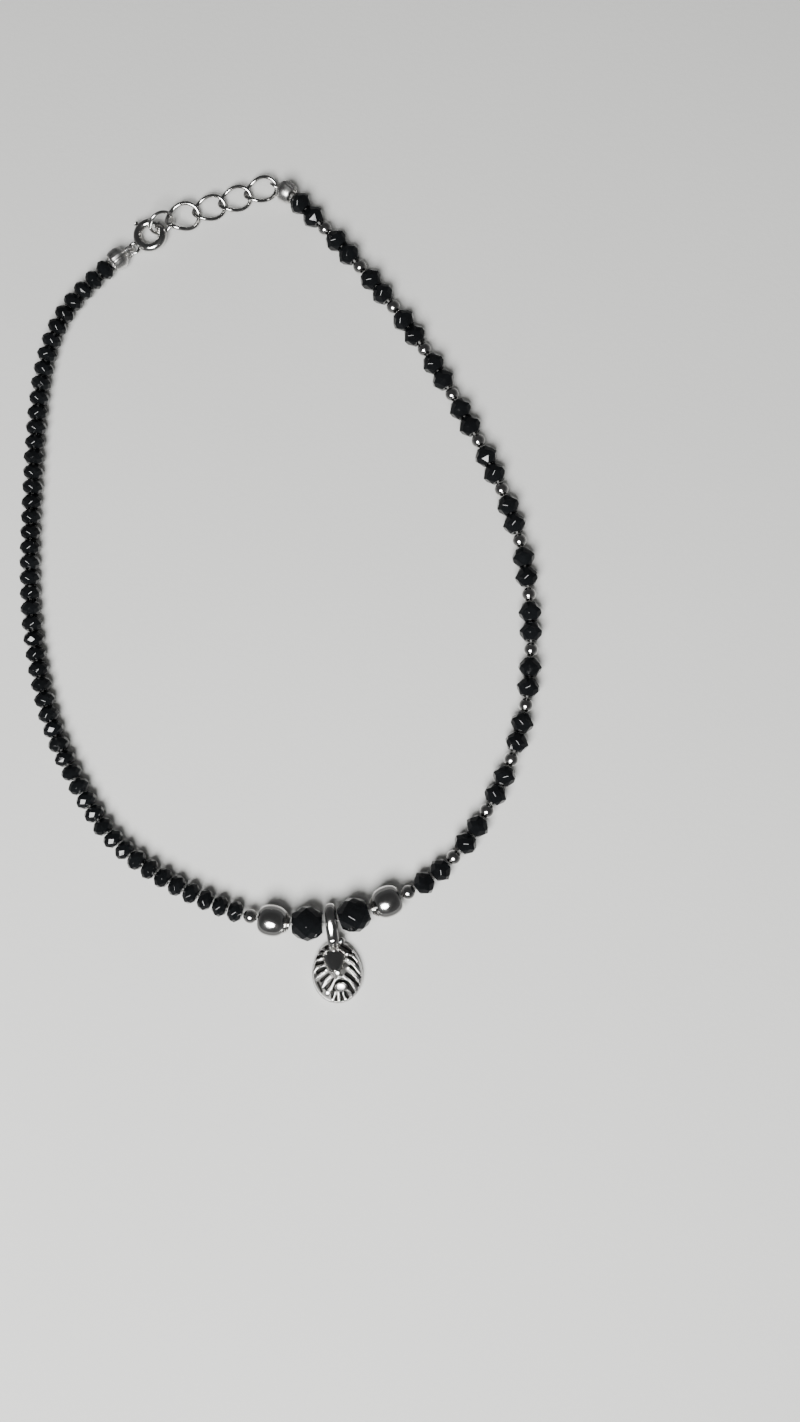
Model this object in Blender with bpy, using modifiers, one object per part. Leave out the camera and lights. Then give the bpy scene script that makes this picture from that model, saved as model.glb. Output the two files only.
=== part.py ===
"""Payal anklet: a string of black crystals and silver balls with a cast pendant, a chain and a clasp."""

import math

import bmesh
import bpy
import numpy as np
from mathutils import Matrix, Vector

MM = 0.001

# Thread, and the clearances between neighbours
THREAD_DIAMETER = 0.4 * MM
BORE_DIAMETER = 1.0 * MM
THREAD_GAP = 0.24 * MM
CENTRE_GAP = 0.36 * MM
THREAD_JOIN_GAP = 0.3 * MM
THREAD_TUCK = 0.45 * MM
LINK_GAP = 0.2 * MM
RING_GAP = 0.44 * MM

# Black crystals: large ones in pairs on the right, small ones on the left, two at the centre
LARGE_DIAMETER = 3.5 * MM
LARGE_LENGTH = 2.62 * MM
SMALL_DIAMETER = 3.1 * MM
SMALL_LENGTH = 2.0 * MM
CENTRE_DIAMETER = 4.9 * MM
CENTRE_LENGTH = 4.2 * MM
CRYSTAL_END_SHARE = 0.54
CRYSTAL_BELT_SHARE = 0.28
CRYSTAL_SIDES = 8
CENTRE_SIDES = 12
CENTRE_SHOULDER_SHARE = 0.85
CENTRE_SHOULDER_HEIGHT = 0.62
CENTRE_BELT_SHARE = 0.2
STRAND_SIDES = 10
PAIRS = 15
SMALL_BEADS = 50

# Silver balls and barrels
BALL_DIAMETER = 2.0 * MM
BARREL_DIAMETER = 4.5 * MM
BARREL_LENGTH = 4.35 * MM
COLLAR_DIAMETER = 3.0 * MM
COLLAR_STEP_DIAMETER = 2.0 * MM
COLLAR_LENGTH = 0.8 * MM
BARREL_TURN = 66
BARREL_FULLNESS = 0.7
BARREL_SIDES = 14

# Bead tips: a closed clamshell with a wire loop
TIP_DIAMETER = 3.2 * MM
TIP_LENGTH = 2.6 * MM
TIP_BORE_DEPTH = 1.3 * MM
TIP_LOOP_RADIUS = 0.8 * MM
TIP_LOOP_WIRE = 0.42 * MM
TIP_LOOP_SINK = 0.2 * MM
TIP_LOOP_DROP = 0.55 * MM
TIP_LOOP_ROLL = math.radians(70)
TIP_SIDES = 12

# Extension chain: twisted links, a larger end link and a jump ring
LINK_LENGTH = 5.4 * MM
LINK_WIDTH = 4.15 * MM
LINK_WIRE = 0.55 * MM
END_LINK_LENGTH = 5.6 * MM
END_LINK_WIDTH = 4.7 * MM
END_LINK_WIRE = 0.62 * MM
LINK_TWIST = math.radians(34)
LINK_POINTS = 16
JUMP_DIAMETER = 4.1 * MM
JUMP_WIRE = 0.5 * MM
JUMP_ROLL = math.radians(-70)
JUMP_CONTACT = math.radians(22)

# Spring ring clasp, with its sliding bolt
RING_DIAMETER = 5.0 * MM
RING_TUBE = 1.24 * MM
RING_BORE = 0.95 * MM
BOLT_DIAMETER = 0.6 * MM
EYELET_RADIUS = 0.75 * MM
EYELET_WIRE = 0.42 * MM
EYELET_SINK = 0.25 * MM
GATE_START = math.radians(-166)
GATE_END = math.radians(-124)
BORE_END = math.radians(-8)
SOCKET_DEPTH = math.radians(8)
TAB_ANGLE = math.radians(-80)
BOLT_TRAVEL = math.radians(46)
TAB_WIDTH = 0.36 * MM
TAB_HEAD = 0.8 * MM
TAB_CLEARANCE = 0.12 * MM

# Pendant: a cast egg-shaped drop with radial ribs, a teardrop boss and a tall bail
PENDANT_WIDTH = 6.9 * MM
PENDANT_HEIGHT = 8.41 * MM
PENDANT_SWING = math.radians(-4.8)
PENDANT_RIM = 0.9 * MM
PENDANT_DOME = 1.15 * MM
PENDANT_RIBS = 20
RIB_HEIGHT = 0.22 * MM
EGG_SHARE = 0.08
BOSS_WIDTH = 2.7 * MM
BOSS_HEIGHT = 3.7 * MM
BOSS_RISE = 0.55 * MM
SEED_DIAMETER = 1.5 * MM
BAIL_WIDTH = 1.65 * MM
BAIL_LENGTH = 6.1 * MM
BAIL_RISE = 3.7 * MM
BAIL_STOCK = 0.8 * MM
BAIL_BACK_REACH = 2.6 * MM
BAIL_TAPER = 0.18
KNOB_DIAMETER = 1.05 * MM
KNOB_RAISE = 1.2 * MM

# Heights of the line that the pieces follow, above the surface they lie on
HOOK_HEIGHT = 0.95 * MM
CHAIN_HEIGHT = 0.8 * MM
TIP_LIFT = 0.1 * MM
JUMP_HEIGHT = 1.4 * MM
EYELET_HEIGHT = 0.85 * MM

# The loop as it lies, a few chosen points from the bail round to the right, in mm.
# They give its form: the loop takes its real length from the pieces threaded on it.
LOOP_ROUTE = [
    (-9.5, -29.9),
    (-3.2, -27.8),
    (2.8, -24.9),
    (7.9, -20.6),
    (12.1, -14.7),
    (15.6, -7.6),
    (17.8, 0.0),
    (18.7, 8.0),
    (18.6, 15.6),
    (17.6, 23.2),
    (15.3, 30.8),
    (12.0, 38.4),
    (8.1, 45.8),
    (4.2, 52.6),
    (-0.3, 59.3),
    (-5.2, 65.6),
    (-10.3, 71.6),
    (-13.6, 75.2),
    (-17.2, 78.9),
    (-19.4, 80.1),
    (-21.8, 79.2),
    (-24.8, 77.9),
    (-28.3, 76.7),
    (-31.5, 75.6),
    (-34.5, 74.2),
    (-37.6, 72.2),
    (-41.2, 69.2),
    (-45.5, 65.2),
    (-49.9, 59.8),
    (-52.3, 53.6),
    (-53.4, 45.6),
    (-53.8, 34.0),
    (-53.8, 22.0),
    (-53.3, 14.0),
    (-51.9, 5.6),
    (-49.2, -3.6),
    (-45.6, -10.9),
    (-40.8, -18.0),
    (-33.6, -23.6),
    (-26.0, -27.4),
    (-17.3, -29.9),
]
ROUTE_STEPS = 24

BLACK_CRYSTAL = ("black crystal", (0.006, 0.006, 0.008), 0.06, 0.0)
POLISHED_SILVER = ("polished silver", (0.80, 0.79, 0.76), 0.16, 1.0)
CAST_SILVER = ("cast silver", (0.66, 0.65, 0.62), 0.28, 1.0)
THREAD_AND_SILVER = ("thread and silver balls", (0.72, 0.72, 0.70), 0.25, 0.8)


for old in list(bpy.data.objects):
    bpy.data.objects.remove(old, do_unlink=True)

anklet = bpy.data.collections.new("payal_anklet")
cutters = bpy.data.collections.new("cutters")
bpy.context.scene.collection.children.link(anklet)
bpy.context.scene.collection.children.link(cutters)
surface = bpy.data.objects.new("lying_on_surface", None)
anklet.objects.link(surface)


def material(finish):
    """A Principled material with the finish's colour, roughness and metallic value."""
    name, colour, roughness, metallic = finish
    made = bpy.data.materials.get(name)
    if made is None:
        made = bpy.data.materials.new(name)
        made.use_nodes = True
        shader = made.node_tree.nodes["Principled BSDF"]
        shader.inputs["Base Color"].default_value = (*colour, 1.0)
        shader.inputs["Roughness"].default_value = roughness
        shader.inputs["Metallic"].default_value = metallic
        made.diffuse_color = (*colour, 1.0)
    return made


def place(name, data, matrix, finish, smooth=True):
    """One named piece of the anklet, set at its matrix and carried by the surface empty."""
    piece = bpy.data.objects.new(name, data)
    anklet.objects.link(piece)
    piece.parent = surface
    piece.matrix_local = matrix
    if not data.materials:
        data.materials.append(material(finish))
    if smooth and isinstance(data, bpy.types.Mesh):
        data.shade_smooth()
        data.set_sharp_from_angle(angle=math.radians(40))
    return piece


def tool(name, data, matrix):
    """A hidden helper solid for a Boolean modifier, in the same frame as its piece."""
    helper = bpy.data.objects.new(name, data)
    cutters.objects.link(helper)
    helper.parent = surface
    helper.matrix_local = matrix
    helper.hide_render = True
    helper.display_type = "WIRE"
    return helper


def combine(piece, helper, operation):
    """Adds a Boolean modifier that joins the helper to the piece or cuts it away."""
    step = piece.modifiers.new(helper.name, "BOOLEAN")
    step.operation = operation
    step.solver = "EXACT"
    step.object = helper


def turned(name, profile, sides):
    """A mesh turned about local Z from a profile of (radius, height), down its outer side and up its bore."""
    mesh = bpy.data.meshes.new(name)
    shape = bmesh.new()
    ring = [shape.verts.new((radius, 0.0, height)) for radius, height in profile]
    for i in range(len(ring)):
        if profile[i][0] > 0.0 or profile[(i + 1) % len(ring)][0] > 0.0:
            shape.edges.new((ring[i], ring[(i + 1) % len(ring)]))
    shape.to_mesh(mesh)
    shape.free()
    blank = bpy.data.objects.new(name, mesh)
    bpy.context.scene.collection.objects.link(blank)
    screw = blank.modifiers.new("turn", "SCREW")
    screw.axis = "Z"
    screw.steps = sides
    screw.render_steps = sides
    screw.use_merge_vertices = True
    screw.merge_threshold = 1e-6
    return taken(blank, name)


def wire(name, points, diameter, sides, radii=None, closed=False):
    """A tube mesh of the given number of sides along a list of points."""
    curve = bpy.data.curves.new(name, "CURVE")
    curve.dimensions = "3D"
    curve.bevel_depth = diameter / 2
    curve.bevel_resolution = (sides - 4) // 2
    curve.use_fill_caps = not closed
    line = curve.splines.new("POLY")
    line.points.add(len(points) - 1)
    for i, point in enumerate(points):
        line.points[i].co = (*point, 1.0)
        if radii is not None:
            line.points[i].radius = radii[i] / (diameter / 2)
    line.use_cyclic_u = closed
    blank = bpy.data.objects.new(name, curve)
    bpy.context.scene.collection.objects.link(blank)
    return taken(blank, name)


def taken(blank, name):
    """The evaluated mesh of a helper object, its caps welded; the helper is removed."""
    bpy.context.view_layer.update()
    graph = bpy.context.evaluated_depsgraph_get()
    mesh = bpy.data.meshes.new_from_object(blank.evaluated_get(graph))
    mesh.name = name
    bpy.data.objects.remove(blank, do_unlink=True)
    shape = bmesh.new()
    shape.from_mesh(mesh)
    bmesh.ops.remove_doubles(shape, verts=shape.verts, dist=1e-7)
    bmesh.ops.recalc_face_normals(shape, faces=shape.faces)
    shape.to_mesh(mesh)
    shape.free()
    return mesh


def ball_mesh(name, scale, segments, rings):
    """A round or oval solid with the given half-axes."""
    mesh = bpy.data.meshes.new(name)
    shape = bmesh.new()
    bmesh.ops.create_uvsphere(shape, u_segments=segments, v_segments=rings, radius=1.0)
    bmesh.ops.scale(shape, vec=scale, verts=shape.verts)
    shape.to_mesh(mesh)
    shape.free()
    return mesh


def crystal_profile(diameter, length, rows):
    """Half section of a drilled crystal: flat ends, and rows of facets that meet at shares of its size."""
    bore = BORE_DIAMETER / 2
    corners = [(CRYSTAL_END_SHARE, 1.0)] + rows
    upper = [(diameter / 2 * radius, length / 2 * height) for radius, height in corners]
    lower = [(radius, -height) for radius, height in reversed(upper)]
    return upper + lower + [(bore, -length / 2), (bore, length / 2)]


def barrel_profile():
    """Half section of a drilled barrel bead: a round body and a collar of two steps at its lower end."""
    bore = BORE_DIAMETER / 2
    top = BARREL_LENGTH / 2
    foot = -top + COLLAR_LENGTH
    middle = (top + foot) / 2
    half = (top - foot) / 2
    rows = []
    last = math.radians(BARREL_TURN)
    for share in (1.0, 0.7, 0.38, 0.0, -0.4, -0.75):
        turn = last * share
        radius = BARREL_DIAMETER / 2 * math.cos(turn) ** BARREL_FULLNESS
        rows.append((radius, middle + half * math.sin(turn) / math.sin(last)))
    collar = COLLAR_DIAMETER / 2
    step = COLLAR_STEP_DIAMETER / 2
    rows += [
        (collar, foot),
        (collar, foot - COLLAR_LENGTH * 0.5),
        (step, foot - COLLAR_LENGTH * 0.55),
        (step, -top),
        (bore, -top),
        (bore, top),
    ]
    return rows


def tip_profile():
    """Half section of a bead tip: a domed shell with a rolled rim, blind-drilled from the bead side."""
    bore = BORE_DIAMETER / 2
    radius = TIP_DIAMETER / 2
    rim = TIP_LENGTH / 2
    rows = [(radius * 0.66, rim), (radius * 0.94, rim * 0.7)]
    for degrees in (0, 30, 58, 78):
        turn = math.radians(degrees)
        rows.append((radius * math.cos(turn), -rim * math.sin(turn)))
    rows += [(0.0, -rim), (0.0, rim - TIP_BORE_DEPTH), (bore, rim - TIP_BORE_DEPTH), (bore, rim)]
    return rows


def order_along_loop():
    """Start and end of every piece along the loop, measured from the middle of the bail."""
    places = {}
    here = BAIL_WIDTH / 2 + CENTRE_GAP

    def thread_on(name, length, gap=THREAD_GAP):
        nonlocal here
        places[name] = (here, here + length)
        here += length + gap

    thread_on("centre_crystal_right", CENTRE_LENGTH, CENTRE_GAP)
    thread_on("barrel_right", BARREL_LENGTH)
    thread_on("ball_right", BALL_DIAMETER)
    for pair in range(PAIRS):
        thread_on(f"crystal_{2 * pair + 1:02d}", LARGE_LENGTH)
        thread_on(f"crystal_{2 * pair + 2:02d}", LARGE_LENGTH)
        if pair < PAIRS - 1:
            thread_on(f"ball_{pair + 1:02d}", BALL_DIAMETER)
    here += CENTRE_GAP - THREAD_GAP / 2
    thread_on("bead_tip_right", TIP_LENGTH, 0.0)

    loop_reach = 2 * TIP_LOOP_RADIUS - TIP_LOOP_SINK
    wires = [TIP_LOOP_WIRE, LINK_WIRE, LINK_WIRE, LINK_WIRE, END_LINK_WIRE, JUMP_WIRE, RING_TUBE]
    laps = [(a + b) / 4 + LINK_GAP / 2 for a, b in zip(wires, wires[1:])]
    laps[-1] += (RING_GAP - LINK_GAP) / 2
    last_lap = (EYELET_WIRE + TIP_LOOP_WIRE) / 4 + LINK_GAP / 2
    here += loop_reach - laps[0]
    link_spans = [LINK_LENGTH - LINK_WIRE] * 3
    jump_chord = (JUMP_DIAMETER - JUMP_WIRE) * math.cos(JUMP_CONTACT)
    link_spans += [END_LINK_LENGTH - END_LINK_WIRE, jump_chord]
    link_names = ["chain_link_1", "chain_link_2", "chain_link_3", "chain_link_4", "jump_ring"]
    for i, name in enumerate(link_names):
        length = link_spans[i] - laps[i] - laps[i + 1]
        places[name] = (here, here + length)
        here += length
    length = ring_reach() - laps[-1] - last_lap
    places["spring_ring"] = (here, here + length)
    here += length + loop_reach - last_lap

    thread_on("bead_tip_left", TIP_LENGTH, CENTRE_GAP)
    for bead in range(SMALL_BEADS):
        thread_on(f"small_{bead + 1:02d}", SMALL_LENGTH)
    thread_on("ball_left", BALL_DIAMETER)
    thread_on("barrel_left", BARREL_LENGTH, CENTRE_GAP)
    thread_on("centre_crystal_left", CENTRE_LENGTH, CENTRE_GAP)
    return places, here + BAIL_WIDTH / 2, laps, last_lap


def ring_reach():
    """From the clasp tube's centre line on one side to the eyelet's wire at the other end."""
    track = (RING_DIAMETER - RING_TUBE) / 2
    return track + RING_DIAMETER / 2 + 2 * EYELET_RADIUS - EYELET_SINK


def closed_curve(points):
    """Points of a smooth closed curve through the given ones: a periodic cubic on their spacing."""
    knots = np.array(points)
    count = len(knots)
    gaps = np.linalg.norm(np.roll(knots, -1, axis=0) - knots, axis=1)
    system = np.zeros((count, count))
    bends = np.zeros((count, 2))
    for i in range(count):
        after = (i + 1) % count
        system[i, i - 1] += gaps[i - 1]
        system[i, i] += 2 * (gaps[i - 1] + gaps[i])
        system[i, after] += gaps[i]
        bends[i] = 6 * ((knots[after] - knots[i]) / gaps[i] - (knots[i] - knots[i - 1]) / gaps[i - 1])
    curvature = np.linalg.solve(system, bends)
    line = []
    for i in range(count):
        after = (i + 1) % count
        for step in range(ROUTE_STEPS):
            t = step / ROUTE_STEPS
            u = 1 - t
            pull = (u**3 - u) * curvature[i] + (t**3 - t) * curvature[after]
            line.append(u * knots[i] + t * knots[after] + gaps[i] ** 2 / 6 * pull)
    return np.array(line)


places, loop_length, laps, last_lap = order_along_loop()
outline = closed_curve(LOOP_ROUTE)
outline = np.vstack([outline, outline[:1]])
travelled = np.concatenate([[0.0], np.cumsum(np.linalg.norm(np.diff(outline, axis=0), axis=1))])
outline *= loop_length / travelled[-1]
travelled *= loop_length / travelled[-1]

height_keys = [(0.0, CENTRE_DIAMETER / 2)]
for name, (start, end) in places.items():
    if name.startswith("centre"):
        height = CENTRE_DIAMETER / 2
    elif name.startswith("barrel"):
        height = BARREL_DIAMETER / 2
    elif name.startswith("crystal"):
        height = LARGE_DIAMETER / 2
    elif name.startswith("small"):
        height = SMALL_DIAMETER / 2
    elif name == "bead_tip_right":
        height_keys.append((start, TIP_DIAMETER / 2 + TIP_LIFT))
        continue
    elif name == "bead_tip_left":
        height_keys.append((end, TIP_DIAMETER / 2 + TIP_LIFT))
        continue
    elif name == "chain_link_1":
        height_keys.append((start, HOOK_HEIGHT))
        height_keys.append((end, CHAIN_HEIGHT))
        continue
    elif name == "chain_link_4":
        height_keys.append((start, CHAIN_HEIGHT))
        height_keys.append((end, JUMP_HEIGHT))
        continue
    elif name == "spring_ring":
        height_keys.append((start, JUMP_HEIGHT))
        height_keys.append((end, EYELET_HEIGHT))
        continue
    else:
        continue
    height_keys += [(start, height), (end, height)]
height_keys.append((loop_length, CENTRE_DIAMETER / 2))
key_places = [key[0] for key in height_keys]
key_heights = [key[1] for key in height_keys]


def at(distance):
    """The point of the loop's line at a distance from the bail, going round to the right."""
    distance %= loop_length
    x = np.interp(distance, travelled, outline[:, 0])
    y = np.interp(distance, travelled, outline[:, 1])
    return Vector((x, y, np.interp(distance, key_places, key_heights)))


def aim(first, last, past, roll=0.0):
    """A frame on the line between two points, some way past the first: X along it, Y to its left, Z up."""
    along = (last - first).normalized()
    left = Vector((0.0, 0.0, 1.0)).cross(along).normalized()
    up = along.cross(left)
    turn = Matrix((along, left, up)).transposed().to_4x4()
    return Matrix.Translation(first + along * past) @ turn @ Matrix.Rotation(roll, 4, "X")


def frame(start, end, roll=0.0):
    """The frame midway between two places on the loop."""
    first = at(start)
    last = at(end)
    return aim(first, last, (last - first).length / 2, roll)


ALONG = Matrix.Rotation(math.pi / 2, 4, "Y")
BACKWARDS = Matrix.Rotation(-math.pi / 2, 4, "Y")


def make_crystals():
    """The drilled black crystals of the right half and the two at the centre."""
    profile = crystal_profile(LARGE_DIAMETER, LARGE_LENGTH, [(1.0, CRYSTAL_BELT_SHARE)])
    large = turned("large crystal", profile, CRYSTAL_SIDES)
    for number in range(1, 2 * PAIRS + 1):
        name = f"crystal_{number:02d}"
        place(name, large, frame(*places[name]) @ ALONG, BLACK_CRYSTAL, smooth=False)
    rows = [(CENTRE_SHOULDER_SHARE, CENTRE_SHOULDER_HEIGHT), (1.0, CENTRE_BELT_SHARE)]
    profile = crystal_profile(CENTRE_DIAMETER, CENTRE_LENGTH, rows)
    centre = turned("centre crystal", profile, CENTRE_SIDES)
    for name in ("centre_crystal_right", "centre_crystal_left"):
        place(name, centre, frame(*places[name]) @ ALONG, BLACK_CRYSTAL, smooth=False)


def make_barrels():
    """The two silver barrels, each with its collar towards the pendant."""
    barrel = turned("barrel", barrel_profile(), BARREL_SIDES)
    place("barrel_right", barrel, frame(*places["barrel_right"]) @ ALONG, POLISHED_SILVER)
    place("barrel_left", barrel, frame(*places["barrel_left"]) @ BACKWARDS, POLISHED_SILVER)


def bead_steps(name):
    """Places and radii along the thread that swell it into one small crystal or one silver ball."""
    start, end = places[name]
    middle = (start + end) / 2
    thread = THREAD_DIAMETER / 2
    if name.startswith("small"):
        rim = SMALL_DIAMETER / 2 * CRYSTAL_END_SHARE
        girdle = SMALL_DIAMETER / 2
        belt = SMALL_LENGTH / 2 * CRYSTAL_BELT_SHARE
        bead = [(start, rim), (middle - belt, girdle), (middle + belt, girdle), (end, rim)]
        return bead + [(end + THREAD_GAP / 2, thread)]
    radius = BALL_DIAMETER / 2
    steps = [(start, thread)]
    for degrees in (-54, -20, 20, 54):
        turn = math.radians(degrees)
        steps.append((middle + radius * math.sin(turn), radius * math.cos(turn)))
    steps.append((end, thread))
    return steps


def make_strand(name, first, last, swollen, bare, finish):
    """A thread from one place to another, fused with the beads it swells into."""
    steps = [(first, THREAD_DIAMETER / 2), (last, THREAD_DIAMETER / 2)]
    steps += [(distance, THREAD_DIAMETER / 2) for distance in bare]
    for bead in swollen:
        steps += bead_steps(bead)
    steps.sort()
    points = [at(distance) for distance, _ in steps]
    radii = [radius for _, radius in steps]
    mesh = wire(name, points, THREAD_DIAMETER, STRAND_SIDES, radii)
    place(name, mesh, Matrix.Identity(4), finish, smooth=False)


def make_strands():
    """The thread in two nodes that meet inside the left barrel, with the beads fused to it."""
    join = sum(places["barrel_left"]) / 2
    small = [name for name in places if name.startswith("small")]
    begin = places["bead_tip_left"][1] - THREAD_TUCK
    bare = [places["small_01"][0] - THREAD_GAP / 2]
    finish = join - THREAD_JOIN_GAP / 2
    make_strand("small_bead_strand", begin, finish, small + ["ball_left"], bare, BLACK_CRYSTAL)

    balls = [name for name in places if name.startswith("ball") and name != "ball_left"]
    bare = [0.0]
    for name in ("centre_crystal_right", "barrel_right"):
        bare += [places[name][0] - THREAD_GAP / 2, places[name][1] + THREAD_GAP / 2]
    for number in range(1, 2 * PAIRS, 2):
        bare.append(places[f"crystal_{number:02d}"][1] + THREAD_GAP / 2)
    bare.append(places["crystal_01"][0] - THREAD_GAP / 2)
    bare.append(places["centre_crystal_left"][0] - THREAD_GAP / 2 - loop_length)
    begin = join + THREAD_JOIN_GAP / 2 - loop_length
    finish = places["bead_tip_right"][0] + THREAD_TUCK
    make_strand("silver_ball_strand", begin, finish, balls, sorted(set(bare)), THREAD_AND_SILVER)


def make_tips():
    """The two bead tips, each with its loop towards the chain."""
    shell = turned("bead tip", tip_profile(), TIP_SIDES)
    reach = TIP_LENGTH / 2 + TIP_LOOP_RADIUS - TIP_LOOP_SINK
    ring = []
    for step in range(12):
        turn = 2 * math.pi * step / 12
        side = TIP_LOOP_RADIUS * math.cos(turn)
        across = side * math.sin(TIP_LOOP_ROLL)
        ring.append((across, side * math.cos(TIP_LOOP_ROLL), -reach + TIP_LOOP_RADIUS * math.sin(turn)))
    loop = wire("tip loop", ring, TIP_LOOP_WIRE, 6, closed=True)
    to_middle = 2 * TIP_LOOP_RADIUS - TIP_LOOP_SINK + TIP_LENGTH / 2
    drop = Vector((0.0, 0.0, TIP_LOOP_DROP))
    hooks = {
        "bead_tip_right": (places["chain_link_1"][0], places["bead_tip_right"][0], laps[0]),
        "bead_tip_left": (places["spring_ring"][1], places["bead_tip_left"][1], last_lap),
    }
    for name, (hook, rim, lap) in hooks.items():
        matrix = aim(at(hook) + drop, at(rim), to_middle - lap) @ ALONG
        tip = place(name, shell.copy(), matrix, POLISHED_SILVER)
        lower = Matrix.Translation((TIP_LOOP_DROP, 0.0, 0.0))
        combine(tip, tool(f"{name}_loop", loop, matrix @ lower), "UNION")


def make_links():
    """The twisted links of the extension chain, the larger end link and the jump ring."""
    for name in ("chain_link_1", "chain_link_2", "chain_link_3", "chain_link_4"):
        end_link = name == "chain_link_4"
        stock = END_LINK_WIRE if end_link else LINK_WIRE
        half_length = ((END_LINK_LENGTH if end_link else LINK_LENGTH) - stock) / 2
        half_width = ((END_LINK_WIDTH if end_link else LINK_WIDTH) - stock) / 2
        points = []
        for step in range(LINK_POINTS):
            turn = 2 * math.pi * (step + 0.5) / LINK_POINTS
            along = math.cos(turn)
            across = half_width * math.sin(turn)
            twist = LINK_TWIST * along
            points.append((half_length * along, across * math.cos(twist), across * math.sin(twist)))
        mesh = wire(name, points, stock, 6, closed=True)
        place(name, mesh, frame(*places[name]), POLISHED_SILVER)
    radius = (JUMP_DIAMETER - JUMP_WIRE) / 2
    points = []
    for step in range(LINK_POINTS):
        turn = 2 * math.pi * step / LINK_POINTS
        points.append((radius * math.cos(turn), radius * math.sin(turn), 0.0))
    mesh = wire("jump_ring", points, JUMP_WIRE, 6, closed=True)
    raised = Matrix.Translation((0.0, -radius * math.sin(JUMP_CONTACT), 0.0))
    standing = frame(*places["jump_ring"], roll=JUMP_ROLL) @ raised
    place("jump_ring", mesh, standing, POLISHED_SILVER)


def arc(start, end, radius, step=math.radians(15)):
    """Points of an arc about the clasp's centre, in its plane."""
    count = max(2, math.ceil(abs(end - start) / step) + 1)
    turns = np.linspace(start, end, count)
    return [(radius * math.cos(turn), radius * math.sin(turn), 0.0) for turn in turns]


def make_clasp():
    """The spring ring: a tube with a gate, bored for the bolt, slotted for its tab, with a fixed eyelet."""
    track = (RING_DIAMETER - RING_TUBE) / 2
    start, end = places["spring_ring"]
    matrix = frame(start, end)
    back = (end - start) / 2 + laps[-1] - track
    matrix = matrix @ Matrix.Translation((-back, 0.0, 0.0))
    full = 2 * math.pi
    tube = wire("spring ring tube", arc(GATE_END, full + GATE_START, track), RING_TUBE, 10)
    ring = place("spring_ring", tube, matrix, POLISHED_SILVER)

    eye_centre = RING_DIAMETER / 2 - EYELET_SINK + EYELET_RADIUS
    points = []
    for step in range(12):
        turn = full * step / 12
        points.append((eye_centre + EYELET_RADIUS * math.cos(turn), EYELET_RADIUS * math.sin(turn), 0.0))
    eyelet = wire("eyelet", points, EYELET_WIRE, 6, closed=True)
    combine(ring, tool("eyelet", eyelet, matrix), "UNION")
    past = math.radians(4)
    bore = wire("bolt bore", arc(GATE_END - past, BORE_END, track), RING_BORE, 10)
    combine(ring, tool("bolt_bore", bore, matrix), "DIFFERENCE")
    socket_arc = arc(GATE_START - SOCKET_DEPTH, GATE_START + past, track)
    socket = wire("bolt socket", socket_arc, RING_BORE, 10)
    combine(ring, tool("bolt_socket", socket, matrix), "DIFFERENCE")
    tab_reach = (TAB_WIDTH / 2 + TAB_CLEARANCE) / (RING_DIAMETER / 2)
    slot_radius = track + (RING_BORE + RING_TUBE) / 4
    slot_arc = arc(TAB_ANGLE - tab_reach * 1.5, TAB_ANGLE + BOLT_TRAVEL + tab_reach * 1.5, slot_radius)
    slot = wire("tab slot", slot_arc, TAB_WIDTH + 2 * TAB_CLEARANCE, 8)
    combine(ring, tool("tab_slot", slot, matrix), "DIFFERENCE")

    tail = TAB_ANGLE + math.radians(14)
    nose = GATE_START - SOCKET_DEPTH / 2
    bolt_mesh = wire("spring ring bolt", arc(nose, tail, track), BOLT_DIAMETER, 8)
    bolt = place("spring_ring_bolt", bolt_mesh, matrix, POLISHED_SILVER)
    out = Vector((math.cos(TAB_ANGLE), math.sin(TAB_ANGLE), 0.0))
    neck_end = RING_DIAMETER / 2 + TAB_CLEARANCE + TAB_HEAD / 4
    neck = wire("tab neck", [out * track, out * neck_end], TAB_WIDTH, 8)
    combine(bolt, tool("tab_neck", neck, matrix), "UNION")
    head = ball_mesh("tab head", (TAB_HEAD / 4, TAB_HEAD / 2, TAB_HEAD / 2), 10, 6)
    outward = Matrix.Translation(out * neck_end) @ Matrix.Rotation(TAB_ANGLE, 4, "Z")
    combine(bolt, tool("tab_head", head, matrix @ outward), "UNION")
    return matrix


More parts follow.
